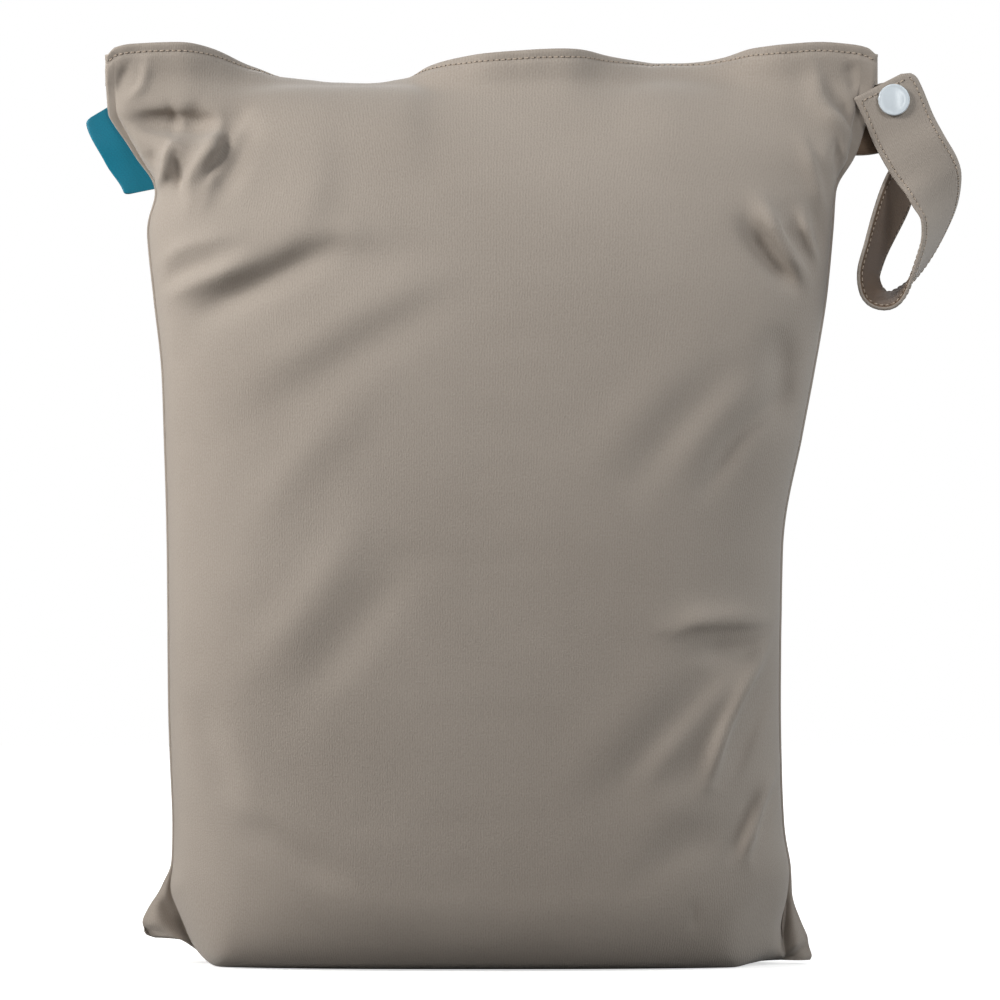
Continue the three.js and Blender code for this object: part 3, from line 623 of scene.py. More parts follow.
def soften(field, times):
    """Spreads each point's value over its neighbours on the grid."""
    for _ in range(times):
        wide = np.pad(field, ((1, 1), (1, 1), (0, 0)), mode="edge")
        field = (wide[:-2, 1:-1] + wide[2:, 1:-1] + wide[1:-1, :-2] + wide[1:-1, 2:] + 4 * field) / 8
    return field


def read_points(obj):
    points = np.empty(len(obj.data.vertices) * 3)
    obj.data.vertices.foreach_get("co", points)
    return points.reshape(-1, 3)


def held_weights(rows, columns):
    """Full hold at the hem and the seams, easing to a light one over the panel's body."""
    row = np.arange(rows)[:, None]
    column = np.arange(columns)[None, :]
    from_side = np.minimum(column, columns - 1 - column)
    from_rim = rows - 1 - row
    sides = 1 - smoothstep(from_side, 12, 20)
    rim = 1 - smoothstep(from_rim, HEM_ROWS, HEM_ROWS + 8)
    foot = 1 - smoothstep(row, 10, 24)
    held = np.maximum(np.maximum(sides, rim), foot)
    return np.round(LIGHT_HOLD + (1 - LIGHT_HOLD) * held, 2).ravel()


def press_creases(obj, creases):
    """Presses the sharp part of the creases into the finished mesh, along its normals."""
    count = len(obj.data.vertices)
    flat = np.empty(count * 3)
    obj.data.attributes["flat_place"].data.foreach_get("vector", flat)
    x, z, weight = flat.reshape(-1, 3).T
    normals = np.empty(count * 3)
    obj.data.vertex_normals.foreach_get("vector", normals)
    fine = [crease for crease in creases if min(crease[1:3]) <= FINE_CREASE]
    push = SHARP_CREASE * crease_push(fine, x, z, SHARP_WIDTH) * weight
    points = read_points(obj) + normals.reshape(-1, 3) * push[:, None]
    obj.data.vertices.foreach_set("co", points.astype(np.float32).ravel())
    obj.data.update()


def cloth_panel(name, front):
    face, weight = panel_sheet(front)
    sheet = turn_hem(turn_edges(face, front), front)
    rows, columns = sheet.shape[:2]
    flat_place = np.zeros((rows, columns, 3))
    flat_place[..., 0] = sheet[..., 0]
    flat_place[..., 1] = sheet[..., 2]
    flat_place[:rows - HEM_TURN_ROWS, EDGE_COLUMNS:-EDGE_COLUMNS, 2] = weight
    grid = np.stack(roll_back(sheet[..., 0], sheet[..., 1], sheet[..., 2]), -1)
    obj = mesh_from_grid(name, grid, flip=not front)
    across = np.linspace(-HALF_MOUTH, HALF_MOUTH, columns)
    steps = np.linalg.norm(np.diff(grid[:, columns // 2], axis=0), axis=-1)
    up = np.concatenate([[0], np.cumsum(steps)])
    lay_uv(obj, np.tile(across, rows), np.repeat(up, columns))
    held = held_weights(rows, columns)
    moved = relax_cloth(obj, held).reshape(rows, columns, 3) - grid
    free = 1 - smoothstep(held.reshape(rows, columns, 1), 0.5, 1)
    settled = (grid + soften(moved, SOFTENING) * free).reshape(-1, 3)
    settled[:, 2] = np.maximum(settled[:, 2], grid.reshape(-1, 3)[:, 2].clip(0, 0.5 * MM))
    side = -1 if front else 1
    settled[:, 1] = side * np.maximum(side * settled[:, 1], side * grid.reshape(-1, 3)[:, 1] - 3 * MM)
    obj.data.vertices.foreach_set("co", settled.astype(np.float32).ravel())
    grid = settled.reshape(rows, columns, 3)
    smooth(obj)
    where = obj.data.attributes.new("flat_place", "FLOAT_VECTOR", "POINT")
    where.data.foreach_set("vector", flat_place.astype(np.float32).ravel())
    finish_modifiers(obj, [("SUBSURF", {"levels": 1, "render_levels": 1})])
    press_creases(obj, FRONT_CREASES if front else BACK_CREASES)
    return obj, grid


def smooth(obj):
    obj.data.polygons.foreach_set("use_smooth", [True] * len(obj.data.polygons))


def finish_modifiers(obj, modifiers):
    """Adds the named modifiers and turns their result into the object's own mesh."""
    for kind, settings in modifiers:
        modifier = obj.modifiers.new(kind.lower(), kind)
        for key, value in settings.items():
            setattr(modifier, key, value)
    make_plain(obj)


def add_camera():
    data = bpy.data.cameras.new("camera")
    camera = bpy.data.objects.new("camera", data)
    bpy.context.scene.collection.objects.link(camera)
    bpy.context.scene.camera = camera
    frame_width = 392 * MM
    target = Vector((9.4 * MM, 0, 181.5 * MM))
    camera.location = Vector((9.4 * MM, -2.3, 0.15))
    distance = (camera.location - target).length
    camera.rotation_euler = (target - camera.location).to_track_quat("-Z", "Y").to_euler()
    data.sensor_width = 36
    data.lens = 36 * distance / frame_width
    data.clip_start = 0.01
    data.clip_end = 20


def add_area_light(name, place, aim, size, power, colour=(1, 1, 1), spread=180):
    data = bpy.data.lights.new(name, "AREA")
    data.shape = "SQUARE"
    data.size = size
    data.energy = power
    data.color = colour
    data.spread = math.radians(spread)
    light = bpy.data.objects.new(name, data)
    bpy.context.scene.collection.objects.link(light)
    light.location = place
    light.rotation_euler = (Vector(aim) - Vector(place)).to_track_quat("-Z", "Y").to_euler()


def add_studio():
    world = bpy.data.worlds.new("studio")
    bpy.context.scene.world = world
    world.use_nodes = True
    tree = world.node_tree
    soft = tree.nodes["Background"]
    soft.inputs["Color"].default_value = (0.96, 0.98, 1, 1)
    soft.inputs["Strength"].default_value = 0.14
    paper = add_node(tree, "ShaderNodeBackground", {"Color": (1, 1, 1, 1), "Strength": 1.0})
    rays = add_node(tree, "ShaderNodeLightPath")
    mix = add_node(tree, "ShaderNodeMixShader", {0: rays.outputs["Is Camera Ray"], 1: soft.outputs[0],
                                                 2: paper.outputs[0]})
    tree.links.new(mix.outputs[0], tree.nodes["World Output"].inputs["Surface"])
    add_area_light("key", (-0.95, -0.6, 0.85), (-0.12, 0, 0.4), 0.5, 2.05, (1, 0.985, 0.96), 65)
    add_area_light("side", (0.6, -0.75, 0.85), (0.15, 0, 0.36), 0.4, 0.75, (0.96, 0.98, 1), 70)
    add_area_light("left", (-1.6, 0.12, 0.4), (-0.1, 0, 0.15), 0.7, 12, (1, 0.98, 0.95))
    add_area_light("right", (1.6, 0.12, 0.45), (0.1, 0, 0.18), 0.7, 7, (0.93, 0.98, 1))
    add_area_light("window", (0.48, -2.3, 0.53), (0.16, 0, 0.33), 0.6, 2.3, (1, 1, 1))
    window = bpy.data.lights["window"]
    window.shape = "RECTANGLE"
    window.size = 0.2
    window.size_y = 0.6
    add_area_light("rim", (0.3, 1.6, 1.4), (0, 0, 0.2), 1.0, 12)
    bpy.context.scene.view_settings.view_transform = "Standard"
    ends = (-FLOOR_HALF, FLOOR_HALF)
    floor = mesh_from_grid("studio_floor", np.array([[(x, y, 0) for x in ends] for y in ends]), flip=False)
    material, floor_tree, shader = new_material("pale_floor", 0.8)
    seen = add_node(floor_tree, "ShaderNodeLightPath").outputs["Is Camera Ray"]
    tone = colour_mix(floor_tree, seen, FLOOR_SHADE, FLOOR_PAPER)
    floor_tree.links.new(tone.outputs[2], shader.inputs["Base Color"])
    shader.inputs["Emission Color"].default_value = (1, 1, 1, 1)
    spot = add_node(floor_tree, "ShaderNodeTexCoord").outputs["Object"]
    away = add_node(floor_tree, "ShaderNodeVectorMath", {0: spot}, operation="LENGTH").outputs["Value"]
    glow = maths(floor_tree, "MULTIPLY", seen, spread_range(floor_tree, away, *FLOOR_FADE, FLOOR_GLOW, 1.0))
    floor_tree.links.new(glow, shader.inputs["Emission Strength"])
    use_material(floor, material)


def add_node(tree, kind, inputs=None, **settings):
    node = tree.nodes.new(kind)
    for key, value in settings.items():
        setattr(node, key, value)
    for key, value in (inputs or {}).items():
        if isinstance(value, bpy.types.NodeSocket):
            tree.links.new(value, node.inputs[key])
        else:
            node.inputs[key].default_value = value
    return node


def maths(tree, operation, *values, **settings):
    """The output of a maths node with the given values or sockets."""
    node = add_node(tree, "ShaderNodeMath", dict(enumerate(values)), operation=operation, **settings)
    return node.outputs[0]


def spread_range(tree, value, low, high, to_low, to_high):
    """The output of a node that maps low to high onto to_low to to_high."""
    limits = {"Value": value, "From Min": low, "From Max": high, "To Min": to_low, "To Max": to_high}
    return add_node(tree, "ShaderNodeMapRange", limits).outputs[0]


def noise(tree, vector, scale, detail, **settings):
    """The output of a noise texture read at the vector."""
    inputs = {"Vector": vector, "Scale": scale, "Detail": detail}
    return add_node(tree, "ShaderNodeTexNoise", inputs, **settings).outputs["Fac"]


def colour_mix(tree, share, first=None, second=None):
    """A node that mixes two plain colours by a share, with the result in its third output."""
    node = add_node(tree, "ShaderNodeMix", {0: share}, data_type="RGBA")
    for socket, colour in ((6, first), (7, second)):
        if colour is not None:
            node.inputs[socket].default_value = linear(colour)
    return node


def new_material(name, roughness):
    """A new material with its tree and its shader."""
    material = bpy.data.materials.new(name)
    material.use_nodes = True
    shader = material.node_tree.nodes["Principled BSDF"]
    shader.inputs["Roughness"].default_value = roughness
    return material, material.node_tree, shader


def knit_group():
    """Fine knit of the cloth, on the cloth's own map: a shade from 0 to 1 and a height."""
    group = bpy.data.node_groups.new("fine_knit", "ShaderNodeTree")
    for name, value in (("Rib", 0.8 * MM), ("Rib Strength", 0.35), ("Mottle", 0.5)):
        socket = group.interface.new_socket(name, in_out="INPUT", socket_type="NodeSocketFloat")
        socket.default_value = value
    for name in ("Shade", "Height"):
        group.interface.new_socket(name, in_out="OUTPUT", socket_type="NodeSocketFloat")
    start = add_node(group, "NodeGroupInput")
    end = add_node(group, "NodeGroupOutput")
    uv = add_node(group, "ShaderNodeUVMap", uv_map="cloth")
    rate = maths(group, "DIVIDE", 1.0, start.outputs["Rib"])
    scaled = add_node(group, "ShaderNodeVectorMath", {0: uv.outputs["UV"], "Scale": rate},
                      operation="SCALE").outputs[0]
    drift = noise(group, scaled, 0.35, 1.0, noise_dimensions="2D")
    across = add_node(group, "ShaderNodeSeparateXYZ", {0: scaled}).outputs[0]
    turn = maths(group, "MULTIPLY", maths(group, "MULTIPLY_ADD", drift, 0.9, across), 2 * math.pi)
    rib = maths(group, "MULTIPLY", maths(group, "SINE", turn), start.outputs["Rib Strength"])
    loops = add_node(group, "ShaderNodeMapping", {"Vector": scaled, "Scale": (1.6, 0.9, 1)}).outputs[0]
    grain = spread_range(group, noise(group, loops, 1.0, 2.0, noise_dimensions="2D"), 0.3, 0.7, -0.8, 0.8)
    height = maths(group, "ADD", rib, grain)
    fine = maths(group, "MULTIPLY_ADD", height, 0.32, 0.5)
    broad = noise(group, uv.outputs["UV"], 16.0, 3.0, noise_dimensions="2D")
    blotch = spread_range(group, broad, 0.3, 0.7, -0.3, 0.3)
    shade = maths(group, "MULTIPLY_ADD", blotch, start.outputs["Mottle"], fine, use_clamp=True)
    group.links.new(shade, end.inputs["Shade"])
    group.links.new(height, end.inputs["Height"])
    return group


def knit_material(name, group, light, dark, bump):
    material, tree, shader = new_material(name, 0.78)
    knit = add_node(tree, "ShaderNodeGroup")
    knit.node_tree = group
    knit.inputs["Rib"].default_value = 0.8 * MM
    knit.inputs["Rib Strength"].default_value = 0.5
    knit.inputs["Mottle"].default_value = 0.5
    colour = colour_mix(tree, knit.outputs["Shade"], dark, light)
    tree.links.new(colour.outputs[2], shader.inputs["Base Color"])
    relief = add_node(tree, "ShaderNodeBump", {"Strength": bump, "Distance": KNIT_DEPTH,
                                               "Height": knit.outputs["Height"]})
    tree.links.new(relief.outputs["Normal"], shader.inputs["Normal"])
    shader.inputs["Sheen Weight"].default_value = 0.25
    shader.inputs["Sheen Roughness"].default_value = 0.5
    shader.inputs["Specular IOR Level"].default_value = 0.25
    return material


def plain_material(name, colour, roughness, speckle=0.06):
    material, tree, shader = new_material(name, roughness)
    place_at = add_node(tree, "ShaderNodeTexCoord").outputs["Object"]
    dark = [max(0, c - speckle) for c in colour]
    light = [min(1, c + speckle) for c in colour]
    mix = colour_mix(tree, noise(tree, place_at, 900.0, 2.0), dark, light)
    tree.links.new(mix.outputs[2], shader.inputs["Base Color"])
    return material


def ribbon_material(name, colour, seam_highlight_colour):
    """Woven satin: fine cross ribs, a little change of tone, and a painted highlight: the pale line where
    it is sewn in, for the light caught by the seam's edge.
    """
    material, tree, shader = new_material(name, 0.42)
    uv = add_node(tree, "ShaderNodeUVMap", uv_map="cloth").outputs["UV"]
    parts = add_node(tree, "ShaderNodeSeparateXYZ", {0: uv})
    turn = maths(tree, "MULTIPLY", parts.outputs[1], 2 * math.pi / RIBBON_WEAVE)
    yarn = noise(tree, uv, 1800.0, 2.0, noise_dimensions="2D")
    relief = maths(tree, "MULTIPLY_ADD", maths(tree, "SINE", turn), 0.4, yarn)
    tone = spread_range(tree, relief, 0.0, 1.0, 0.25, 0.8)
    cloth = colour_mix(tree, tone, [0.78 * c for c in colour], [min(1, 1.12 * c) for c in colour])
    # Painted highlight: a pale strip along the ribbon's sewn edge.
    seam = maths(tree, "LESS_THAN", parts.outputs[0], LABEL_SEAM_HIGHLIGHT_WIDTH)
    both = colour_mix(tree, seam, None, seam_highlight_colour)
    tree.links.new(cloth.outputs[2], both.inputs[6])
    tree.links.new(both.outputs[2], shader.inputs["Base Color"])
    bump = add_node(tree, "ShaderNodeBump", {"Strength": 0.35, "Distance": RIBBON_DEPTH, "Height": relief})
    tree.links.new(bump.outputs["Normal"], shader.inputs["Normal"])
    shader.inputs["Specular IOR Level"].default_value = 0.4
    shader.inputs["Anisotropic"].default_value = 0.4
    return material


def use_material(obj, *materials):
    obj.data.materials.clear()
    for material in materials:
        obj.data.materials.append(material)


def finish_piece(obj, node, slot, *materials):
    """Gives the piece its material and lets it stand for a node of the model. The slot is not used."""
    use_material(obj, *materials)
    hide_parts(node)
    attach(obj, "root")


def seam_x(z, side):
    stations = np.linspace(6, LAST_SECTION, 600)
    heights = section("up", stations) * BAG_HEIGHT
    station = np.interp(z, heights, stations)
    return side * HALF_MOUTH * section("left" if side < 0 else "right", station)


def seam_point(z, side):
    return np.array([float(seam_x(np.array([z]), side)[0]), 0, z])


def strap_root():
    """The middle of the strap where it leaves the side seam."""
    return seam_point(BAG_HEIGHT - STRAP_BELOW_TOP - STRAP_WIDTH / 2, 1)


def even_out(points, window):
    """Moving average along a line that keeps its ends where they are."""
    half = window // 2
    before = 2 * points[:1] - points[half:0:-1]
    after = 2 * points[-1:] - points[-2:-half - 2:-1]
    wide = np.concatenate([before, points, after])
    return np.stack([np.convolve(wide[:, k], np.ones(window) / window, "valid") for k in range(3)], -1)


def strap_lines(count):
    """The strap's centre, its near-edge direction and its length along the route."""
    root = strap_root()
    out, back, lap, up = STRAP_ROUTE[:, :4].T
    depth = back * STRAP_WIDTH - lap * LAYER_STEP
    points = root + np.stack([out * STRAP_REACH, depth, up * STRAP_DROP], -1)
    points = np.concatenate([[root - [SEAM_TAIL, 0, 0]], points])
    edges = np.concatenate([STRAP_ROUTE[:1, 4:], STRAP_ROUTE[:, 4:]])
    keys = np.concatenate([[0], np.cumsum(np.linalg.norm(np.diff(points, axis=0), axis=1))])
    at = np.linspace(0, keys[-1], count)
    centre = np.stack([read(keys, points[:, k], at) for k in range(3)], -1)
    edge = np.stack([read(keys, edges[:, k], at) for k in range(3)], -1)
    centre = even_out(centre, 5)
    along = np.gradient(centre, axis=0)
    along /= np.linalg.norm(along, axis=1, keepdims=True)
    edge -= (edge * along).sum(1, keepdims=True) * along
    edge = even_out(edge / np.linalg.norm(edge, axis=1, keepdims=True), 11)
    edge -= (edge * along).sum(1, keepdims=True) * along
    edge /= np.linalg.norm(edge, axis=1, keepdims=True)
    return centre, edge, np.cross(along, edge), at


def strap_band():
    centre, edge, face, at = strap_lines(STRAP_RINGS)
    length = at[-1]
    past = np.clip(at - length + STRAP_CORNER, 0, STRAP_CORNER)
    cut = STRAP_CORNER - np.sqrt(STRAP_CORNER ** 2 - past ** 2)
    rim = STRAP_CLOTH * 0.42
    shares = np.linspace(0, 1, STRAP_COLUMNS)
    rings = []
    uv = []
    for c, e, f, s, trim in zip(centre, edge, face, at, cut):
        low, high = -STRAP_WIDTH / 2 + trim, STRAP_WIDTH / 2
        ring = []
        for side in (-1, 1):
            for share in shares if side < 0 else shares[::-1]:
                width = low + rim * 0.5 + (high - low - rim) * share
                inset = rim * 0.35 if share in (0, 1) else 0
                ring.append(c + e * width + f * side * (STRAP_CLOTH / 2 - inset))
                uv.append((width, s))
            turn = high if side < 0 else low
            ring.append(c + e * turn)
            uv.append((turn, s))
        rings.append(ring)
    obj = with_caps(mesh_from_grid("strap_band", np.array(rings), flip=False, closed=True))
    uv = np.array(uv)
    lay_uv(obj, uv[:, 0], uv[:, 1])
    smooth(obj)
    return obj


def with_caps(obj):
    """Closes the open ends of a swept piece and turns its faces outwards."""
    solid = bmesh.new()
    solid.from_mesh(obj.data)
    bmesh.ops.holes_fill(solid, edges=[edge for edge in solid.edges if edge.is_boundary], sides=0)
    bmesh.ops.recalc_face_normals(solid, faces=solid.faces)
    solid.to_mesh(obj.data)
    solid.free()
    return obj


def snap_centre():
    return strap_root() + [SNAP_OUT, 0, SNAP_ABOVE_STRAP]


def turned(name, profile, sides=72):
    """A piece turned about the snap's axis. The profile is radius and distance towards the front."""
    turns = np.linspace(0, 2 * math.pi, sides, endpoint=False)
    centre = snap_centre()
    rings = np.array([[centre + [r * math.cos(a), -forward, r * math.sin(a)] for a in turns]
                      for r, forward in profile])
    obj = with_caps(mesh_from_grid(name, rings, flip=False, closed=True))
    smooth(obj)
    obj.data.set_sharp_from_angle(angle=math.radians(50))
    return obj


def arc(centre_r, centre_f, radius_r, radius_f, start, end, count=6):
    """Points on an elliptic arc of a profile, from start to end in degrees."""
    turns = np.radians(np.linspace(start, end, count))
    return [(centre_r + radius_r * math.cos(t), centre_f + radius_f * math.sin(t)) for t in turns]


def snap_rivet(name, outward, face):
    """One half of the snap's rivet: a cap with a rounded rim and a very shallow dish, and its pin."""
    tiny = 0.02 * MM
    pin_end = face - outward * (GAP + STRAP_CLOTH + GAP + SNAP_BODY_HEIGHT / 2 - GAP / 2)
    edge = 0.55 * MM
    height = SNAP_CAP_HEIGHT
    rim = arc(SNAP_RADIUS - edge, height - edge - 0.1 * MM, edge, edge, 0, 90)
    cap = [(SNAP_PIN_RADIUS, 0), (SNAP_RADIUS - 0.3 * MM, 0), (SNAP_RADIUS, 0.25 * MM)] + rim + [
        (SNAP_RADIUS * 0.85, height - 0.16 * MM), (SNAP_RADIUS * 0.78, height - 0.2 * MM),
        (SNAP_RADIUS * 0.6, height - 0.1 * MM), (SNAP_RADIUS * 0.35, height - 0.02 * MM),
        (SNAP_RADIUS * 0.12, height), (tiny, height)]
    profile = [(tiny, pin_end), (SNAP_PIN_RADIUS * 0.9, pin_end),
               (SNAP_PIN_RADIUS, pin_end + outward * 0.15 * MM)]
    profile += [(r, face + outward * forward) for r, forward in cap]
    return turned(name, profile)


def snap_body():
    near = STRAP_CLOTH / 2 + GAP
    far = near + SNAP_BODY_HEIGHT
    bore = SNAP_PIN_RADIUS + GAP
    edge = 0.4 * MM
    split = near + SNAP_BODY_HEIGHT * 0.5
    groove = 0.25 * MM
    profile = [(bore, near), (SNAP_BODY_RADIUS - edge, near)]
    profile += arc(SNAP_BODY_RADIUS - edge, near + edge, edge, edge, -90, 0, 4)
    profile += [(SNAP_BODY_RADIUS, split - groove), (SNAP_BODY_RADIUS - groove, split),
                (SNAP_BODY_RADIUS, split + groove)]
    profile += arc(SNAP_BODY_RADIUS - edge, far - edge, edge, edge, 0, 90, 4)
    profile += [(bore, far), (bore, near)]
    return turned("snap_rings", profile)


def label_ribbon():
    """The folded ribbon in the left seam: two layers and a round fold at its outer edge."""
    thick = 2 * LABEL_RIBBON + GAP
    outer = thick / 2
    slit = GAP / 2
    top = BAG_HEIGHT - LABEL_BELOW_TOP
    run = seam_point(top, -1)[0] - seam_point(top - LABEL_LENGTH, -1)[0]
    drop = math.sqrt(LABEL_LENGTH ** 2 - run ** 2)
    rings = []
    uv = []
    near_ends = [0, 0.008, 0.02, 0.04, 0.07], [0.93, 0.96, 0.98, 0.992, 1]
    for share in np.concatenate([near_ends[0], np.linspace(0.12, 0.88, 20), near_ends[1]]):
        z = top - drop * (1 - share)
        outward = np.array([-0.98 + 0.12 * share, 0, -0.2 - 0.31 * share])
        outward /= np.linalg.norm(outward)
        corner = LABEL_CORNER - min(share, 1 - share, LABEL_CORNER / LABEL_LENGTH) * LABEL_LENGTH
        cut = LABEL_CORNER - math.sqrt(LABEL_CORNER ** 2 - corner ** 2)
        reach = LABEL_REACH * (1.1 - 0.2 * share) - cut
        wave = 0.35 * MM * math.sin(share * 7) * (1 - abs(2 * share - 1))
        layer = np.linspace(-SEAM_TAIL, reach - outer, 12)
        bend = np.radians(np.linspace(-90, 90, 11))
        profile = [(out, -outer + wave * max(out, 0) / reach) for out in layer]
        profile += [(reach - outer + outer * math.cos(b), outer * math.sin(b) + wave) for b in bend[1:-1]]
        profile += [(out, outer + wave * max(out, 0) / reach) for out in layer[::-1]]
        profile += [(-SEAM_TAIL, slit), (reach - outer, slit + wave)]
        profile += [(reach - outer, -slit + wave), (-SEAM_TAIL, -slit)]
        seam = seam_point(z, -1)
        rings.append([seam + outward * out + [0, y, 0] for out, y in profile])
        uv += [(out, share * LABEL_LENGTH) for out, y in profile]
    obj = mesh_from_grid("folded_label", np.array(rings), flip=False, closed=True)
    uv = np.array(uv)
    obj = with_caps(obj)
    lay_uv(obj, uv[:, 0], uv[:, 1])
    smooth(obj)
    obj.data.set_sharp_from_angle(angle=math.radians(60))
    return obj


def rim_points(count):
    """Across and height of points on the rim line between the panels, from seam to seam."""
    ends = float(SECTIONS[-1, 4]), float(SECTIONS[-1, 5])
    x = np.linspace(-HALF_MOUTH * ends[0] + GAP, HALF_MOUTH * ends[1] - GAP, count)
    return x, rim_height(x)


def zip_tape():
    x, top = rim_points(240)
    half = ZIP_TAPE / 2
    edge = half * 0.5
    profile = [(-half, edge), (-half, ZIP_HEIGHT * 0.5), (-half, ZIP_HEIGHT - edge), (-edge, ZIP_HEIGHT),
               (edge, ZIP_HEIGHT), (half, ZIP_HEIGHT - edge), (half, ZIP_HEIGHT * 0.5), (half, edge),
               (edge, 0), (-edge, 0)]
    rings = []
    for across, rim in zip(x, top):
        y = np.array([p[0] for p in profile])
        z = rim - ZIP_BELOW_RIM - ZIP_HEIGHT + np.array([p[1] for p in profile])
        rings.append(np.stack(roll_back(np.full(len(profile), across), y, z), -1))
    obj = mesh_from_grid("zip_tape", np.array(rings), flip=False, closed=True)
    smooth(with_caps(obj))
    lay_uv(obj, np.repeat(x, len(profile)), np.tile([p[1] for p in profile], len(x)))
    return obj


def resample(points, pitch, margin=0.0):
    """Evenly spaced points along a polyline."""
    points = np.asarray(points)
    keys = np.concatenate([[0], np.cumsum(np.linalg.norm(np.diff(points, axis=0), axis=1))])
    count = max(2, int((keys[-1] - 2 * margin) / pitch) + 1)
    at = np.linspace(margin, keys[-1] - margin, count)
    return np.stack([np.interp(at, keys, points[:, k]) for k in range(points.shape[1])], -1)


def hem_line(grid):
    """The stitch line on the settled panel, STITCH_LINE below the rim in every column."""
    rim = len(grid) - HEM_TURN_ROWS
    line = []
    for k in range(EDGE_COLUMNS + 1, grid.shape[1] - EDGE_COLUMNS - 1):
        column = grid[rim - 12:rim, k][::-1]
        keys = np.concatenate([[0], np.cumsum(np.linalg.norm(np.diff(column, axis=0), axis=1))])
        line.append([np.interp(STITCH_LINE - HEM_FOLD * 0.4, keys, column[:, i]) for i in range(3)])
    return np.array(line)


def stitch_tree():
    """Geometry nodes: a thread bead and its needle hole on each point, each with its material; the hole's
    material is painted shade for the shadow inside the hole.
    """
    tree = bpy.data.node_groups.new("stitch_row", "GeometryNodeTree")
    tree.interface.new_socket("Geometry", in_out="INPUT", socket_type="NodeSocketGeometry")
    for name, kind in (("Length", "NodeSocketFloat"), ("Radius", "NodeSocketFloat"),
                       ("Thread", "NodeSocketMaterial"), ("Hole Shade", "NodeSocketMaterial")):
        tree.interface.new_socket(name, in_out="INPUT", socket_type=kind)
    tree.interface.new_socket("Geometry", in_out="OUTPUT", socket_type="NodeSocketGeometry")
    start = add_node(tree, "NodeGroupInput")
    end = add_node(tree, "NodeGroupOutput")
    radius = start.outputs["Radius"]
    half = maths(tree, "MULTIPLY", start.outputs["Length"], 0.5)
    flat = maths(tree, "MULTIPLY", radius, 0.8)
    sunk = maths(tree, "MULTIPLY", radius, 0.35)
    size = add_node(tree, "ShaderNodeCombineXYZ", {0: half, 1: radius, 2: flat})
    hole_size = add_node(tree, "ShaderNodeCombineXYZ", {0: radius, 1: radius, 2: sunk})
    hole_place = add_node(tree, "ShaderNodeCombineXYZ", {0: half})
    points = add_node(tree, "GeometryNodeMeshToPoints", {"Mesh": start.outputs["Geometry"]})
    along = add_node(tree, "GeometryNodeInputNamedAttribute", {"Name": "along"}, data_type="FLOAT_VECTOR")
    out = add_node(tree, "GeometryNodeInputNamedAttribute", {"Name": "out"}, data_type="FLOAT_VECTOR")
    turn = add_node(tree, "FunctionNodeAxesToRotation", {0: along.outputs[0], 1: out.outputs[0]},
                    primary_axis="X", secondary_axis="Z")
    joined = add_node(tree, "GeometryNodeJoinGeometry")
    for scale, shift, rings, material in ((size, None, 6, "Thread"), (hole_size, hole_place, 4, "Hole Shade")):
        ball = add_node(tree, "GeometryNodeMeshUVSphere", {"Segments": 8, "Rings": rings, "Radius": 1.0})
        bead = add_node(tree, "GeometryNodeTransform",
                        {"Geometry": ball.outputs[0], "Scale": scale.outputs[0]})
        if shift:
            tree.links.new(shift.outputs[0], bead.inputs["Translation"])
        placed = add_node(tree, "GeometryNodeInstanceOnPoints",
                          {"Points": points.outputs[0], "Instance": bead.outputs[0],
                           "Rotation": turn.outputs[0]})
        real = add_node(tree, "GeometryNodeRealizeInstances", {"Geometry": placed.outputs[0]})
        coloured = add_node(tree, "GeometryNodeSetMaterial",
                            {"Geometry": real.outputs[0], "Material": start.outputs[material]})
        tree.links.new(coloured.outputs[0], joined.inputs[0])
    tree.links.new(joined.outputs[0], end.inputs[0])
    return tree


def surface_reader(obj):
    """Nearest point and outward direction on a finished piece."""
    points = read_points(obj).tolist()
    return BVHTree.FromPolygons(points, [tuple(face.vertices) for face in obj.data.polygons])


def stitch_row(name, tree, lines, surface, thread, hole_shade):
    """Stitches along each line, laid on the surface."""
    places, alongs, outs = [], [], []
    for line in lines:
        even = resample(line, STITCH_PITCH, STITCH_PITCH / 2)
        ahead = np.gradient(even, axis=0)
        ahead /= np.linalg.norm(ahead, axis=1, keepdims=True)
        for point, way in zip(even, ahead):
            spot, normal, _, _ = surface.find_nearest(point)
            places.append(np.array(spot) + np.array(normal) * THREAD_RADIUS * 0.35)
            alongs.append(way - np.array(normal) * float(np.dot(way, normal)))
            outs.append(np.array(normal))
    return beads(name, tree, places, alongs, outs, STITCH_LENGTH, THREAD_RADIUS, thread, hole_shade)


def beads(name, tree, places, alongs, outs, length, radius, thread, hole_shade):
    """One bead of the given length on each place, turned along one direction and facing the other."""
    mesh = bpy.data.meshes.new(name)
    mesh.from_pydata([tuple(point) for point in places], [], [])
    for key, values in (("along", alongs), ("out", outs)):
        attribute = mesh.attributes.new(key, "FLOAT_VECTOR", "POINT")
        attribute.data.foreach_set("vector", np.array(values, np.float32).ravel())
    obj = bpy.data.objects.new(name, mesh)
    bpy.context.scene.collection.objects.link(obj)
    modifier = obj.modifiers.new("beads", "NODES")
    modifier.node_group = tree
    sockets = {item.name: item.identifier for item in tree.interface.items_tree if item.in_out == "INPUT"}
    modifier[sockets["Length"]] = length
    modifier[sockets["Radius"]] = radius
    modifier[sockets["Thread"]] = thread
    modifier[sockets["Hole Shade"]] = hole_shade
    make_plain(obj)
    smooth(obj)
    return obj


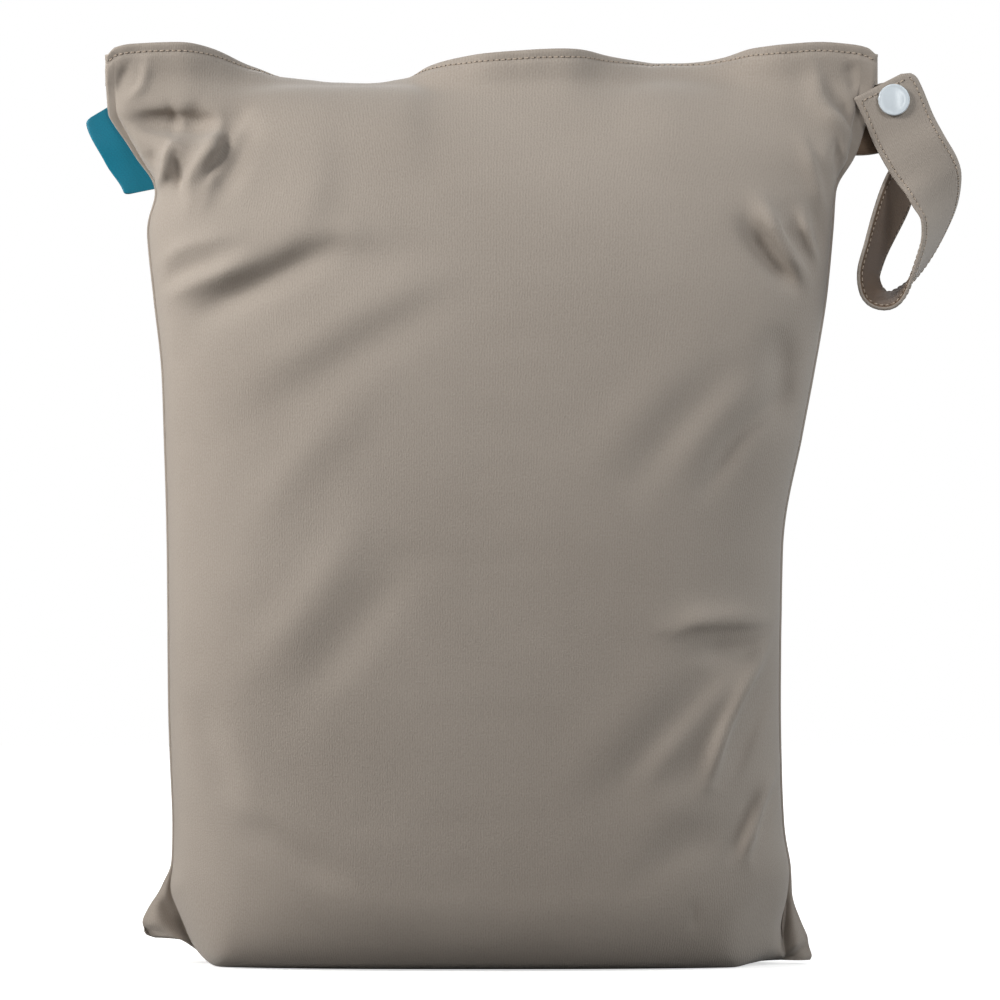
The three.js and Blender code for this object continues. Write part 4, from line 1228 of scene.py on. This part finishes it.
def zip_teeth(tree, material, shadow):
    """The closure's coil: one rounded tooth across the tape's upper edge at each pitch."""
    x, top = rim_points(240)
    edge = np.stack(roll_back(x, np.zeros_like(x), top - ZIP_BELOW_RIM), -1)
    below = np.stack(roll_back(x, np.zeros_like(x), top - ZIP_BELOW_RIM - 1 * MM), -1)
    line = resample(np.concatenate([edge, edge - below], -1), TOOTH_PITCH, 2 * MM)
    ahead = np.gradient(line[:, :3], axis=0)
    out = line[:, 3:] / np.linalg.norm(line[:, 3:], axis=1, keepdims=True)
    across = np.cross(out, ahead)
    return beads("zip_teeth", tree, line[:, :3], across, out, TOOTH_LENGTH, TOOTH_RADIUS, material, shadow)


def make_plain(obj):
    """Turns the result of the object's modifiers into its own mesh."""
    graph = bpy.context.evaluated_depsgraph_get()
    mesh = bpy.data.meshes.new_from_object(obj.evaluated_get(graph))
    obj.modifiers.clear()
    obj.data = mesh
    mesh.name = obj.name


def strap_stitch_lines(centre, edge, face, at):
    """Rows near both long edges on both faces, and across the snapped end."""
    inset = 2.1 * MM
    half = STRAP_WIDTH / 2 - inset
    end = at[-1] - inset
    body = (at > SEAM_TAIL + 3 * MM) & (at < end)
    corner = STRAP_CORNER - inset
    past = np.clip(at - end + corner, 0, corner)
    cut = corner - np.sqrt(np.maximum(corner ** 2 - past ** 2, 0))
    last = np.nonzero(body)[0][-1]
    lines = []
    for side in (-1, 1):
        lift = face * side * STRAP_CLOTH / 2
        high = (centre + edge * half + lift)[body]
        low = (centre + edge * (cut - half)[:, None] + lift)[body]
        across = np.linspace(high[-1], centre[last] + edge[last] * (corner - half) + lift[last], 12)
        lines += [np.concatenate([high, across[1:]]), low]
    return lines


add_camera()
add_studio()
knit = knit_group()
bag_cloth = knit_material("bag_knit", knit, CLOTH_LIGHT, CLOTH_DARK, 0.35)
strap_cloth = knit_material("strap_knit", knit, CLOTH_LIGHT, CLOTH_DARK, 0.35)
# Painted shade material for the inside of the strap's loop.
strap_inner_shade = knit_material("strap_inner_painted_shade", knit, STRAP_INNER_SHADE_PALE, STRAP_INNER_SHADE_DEEP, 0.35)
thread = plain_material("light_thread", THREAD, 0.6)
hole_shade = plain_material("needle_hole_shade", NEEDLE_HOLE_SHADE, 0.9)
snap_plastic = plain_material("snap_white", SNAP_WHITE, 0.12, 0.01)
label_satin = ribbon_material("teal_ribbon", LABEL_TEAL, LABEL_SEAM_HIGHLIGHT)
zip_plastic = plain_material("zip_beige", ZIP_BEIGE, 0.5, 0.03)

front, front_grid = cloth_panel("front_cloth", True)
back, back_grid = cloth_panel("back_cloth", False)
finish_piece(front, "front_panel", "bag_cloth", bag_cloth)
finish_piece(back, "back_panel", "bag_cloth", bag_cloth)

band = strap_band()
finish_piece(band, "strap", "strap_cloth", strap_cloth, strap_inner_shade)
# The faces on the inside of the loop get the painted shade material, darker where the loop's inside lies in
# shadow.
around = 2 * STRAP_COLUMNS + 2
inner_shade_faces = [int(k % around < STRAP_COLUMNS - 1) for k in range(len(band.data.polygons))]
band.data.polygons.foreach_set("material_index", inner_shade_faces)

free_face = LAYER_STEP + STRAP_CLOTH / 2 + GAP
root_face = -STRAP_CLOTH / 2 - GAP
for piece, node in ((snap_rivet("snap_front", 1, free_face), "snap_cap"), (snap_body(), "snap_body"),
                    (snap_rivet("snap_back", -1, root_face), "snap_back_cap")):
    finish_piece(piece, node, "snap_plastic", snap_plastic)

label = label_ribbon()
finish_piece(label, "side_label", "label_cloth", label_satin)

tape = zip_tape()
finish_piece(tape, "zip_closure", "zip_plastic", zip_plastic)

stitches = stitch_tree()
coil = zip_teeth(stitches, zip_plastic, zip_plastic)
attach(coil, "root")
for name, panel, grid in (("front_hem_stitches", front, front_grid),
                          ("back_hem_stitches", back, back_grid)):
    row = stitch_row(name, stitches, [hem_line(grid)], surface_reader(panel), thread, hole_shade)
    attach(row, "root")
strap_rows = strap_stitch_lines(*strap_lines(STRAP_RINGS))
row = stitch_row("strap_stitches", stitches, strap_rows, surface_reader(band), thread, hole_shade)
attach(row, "root")
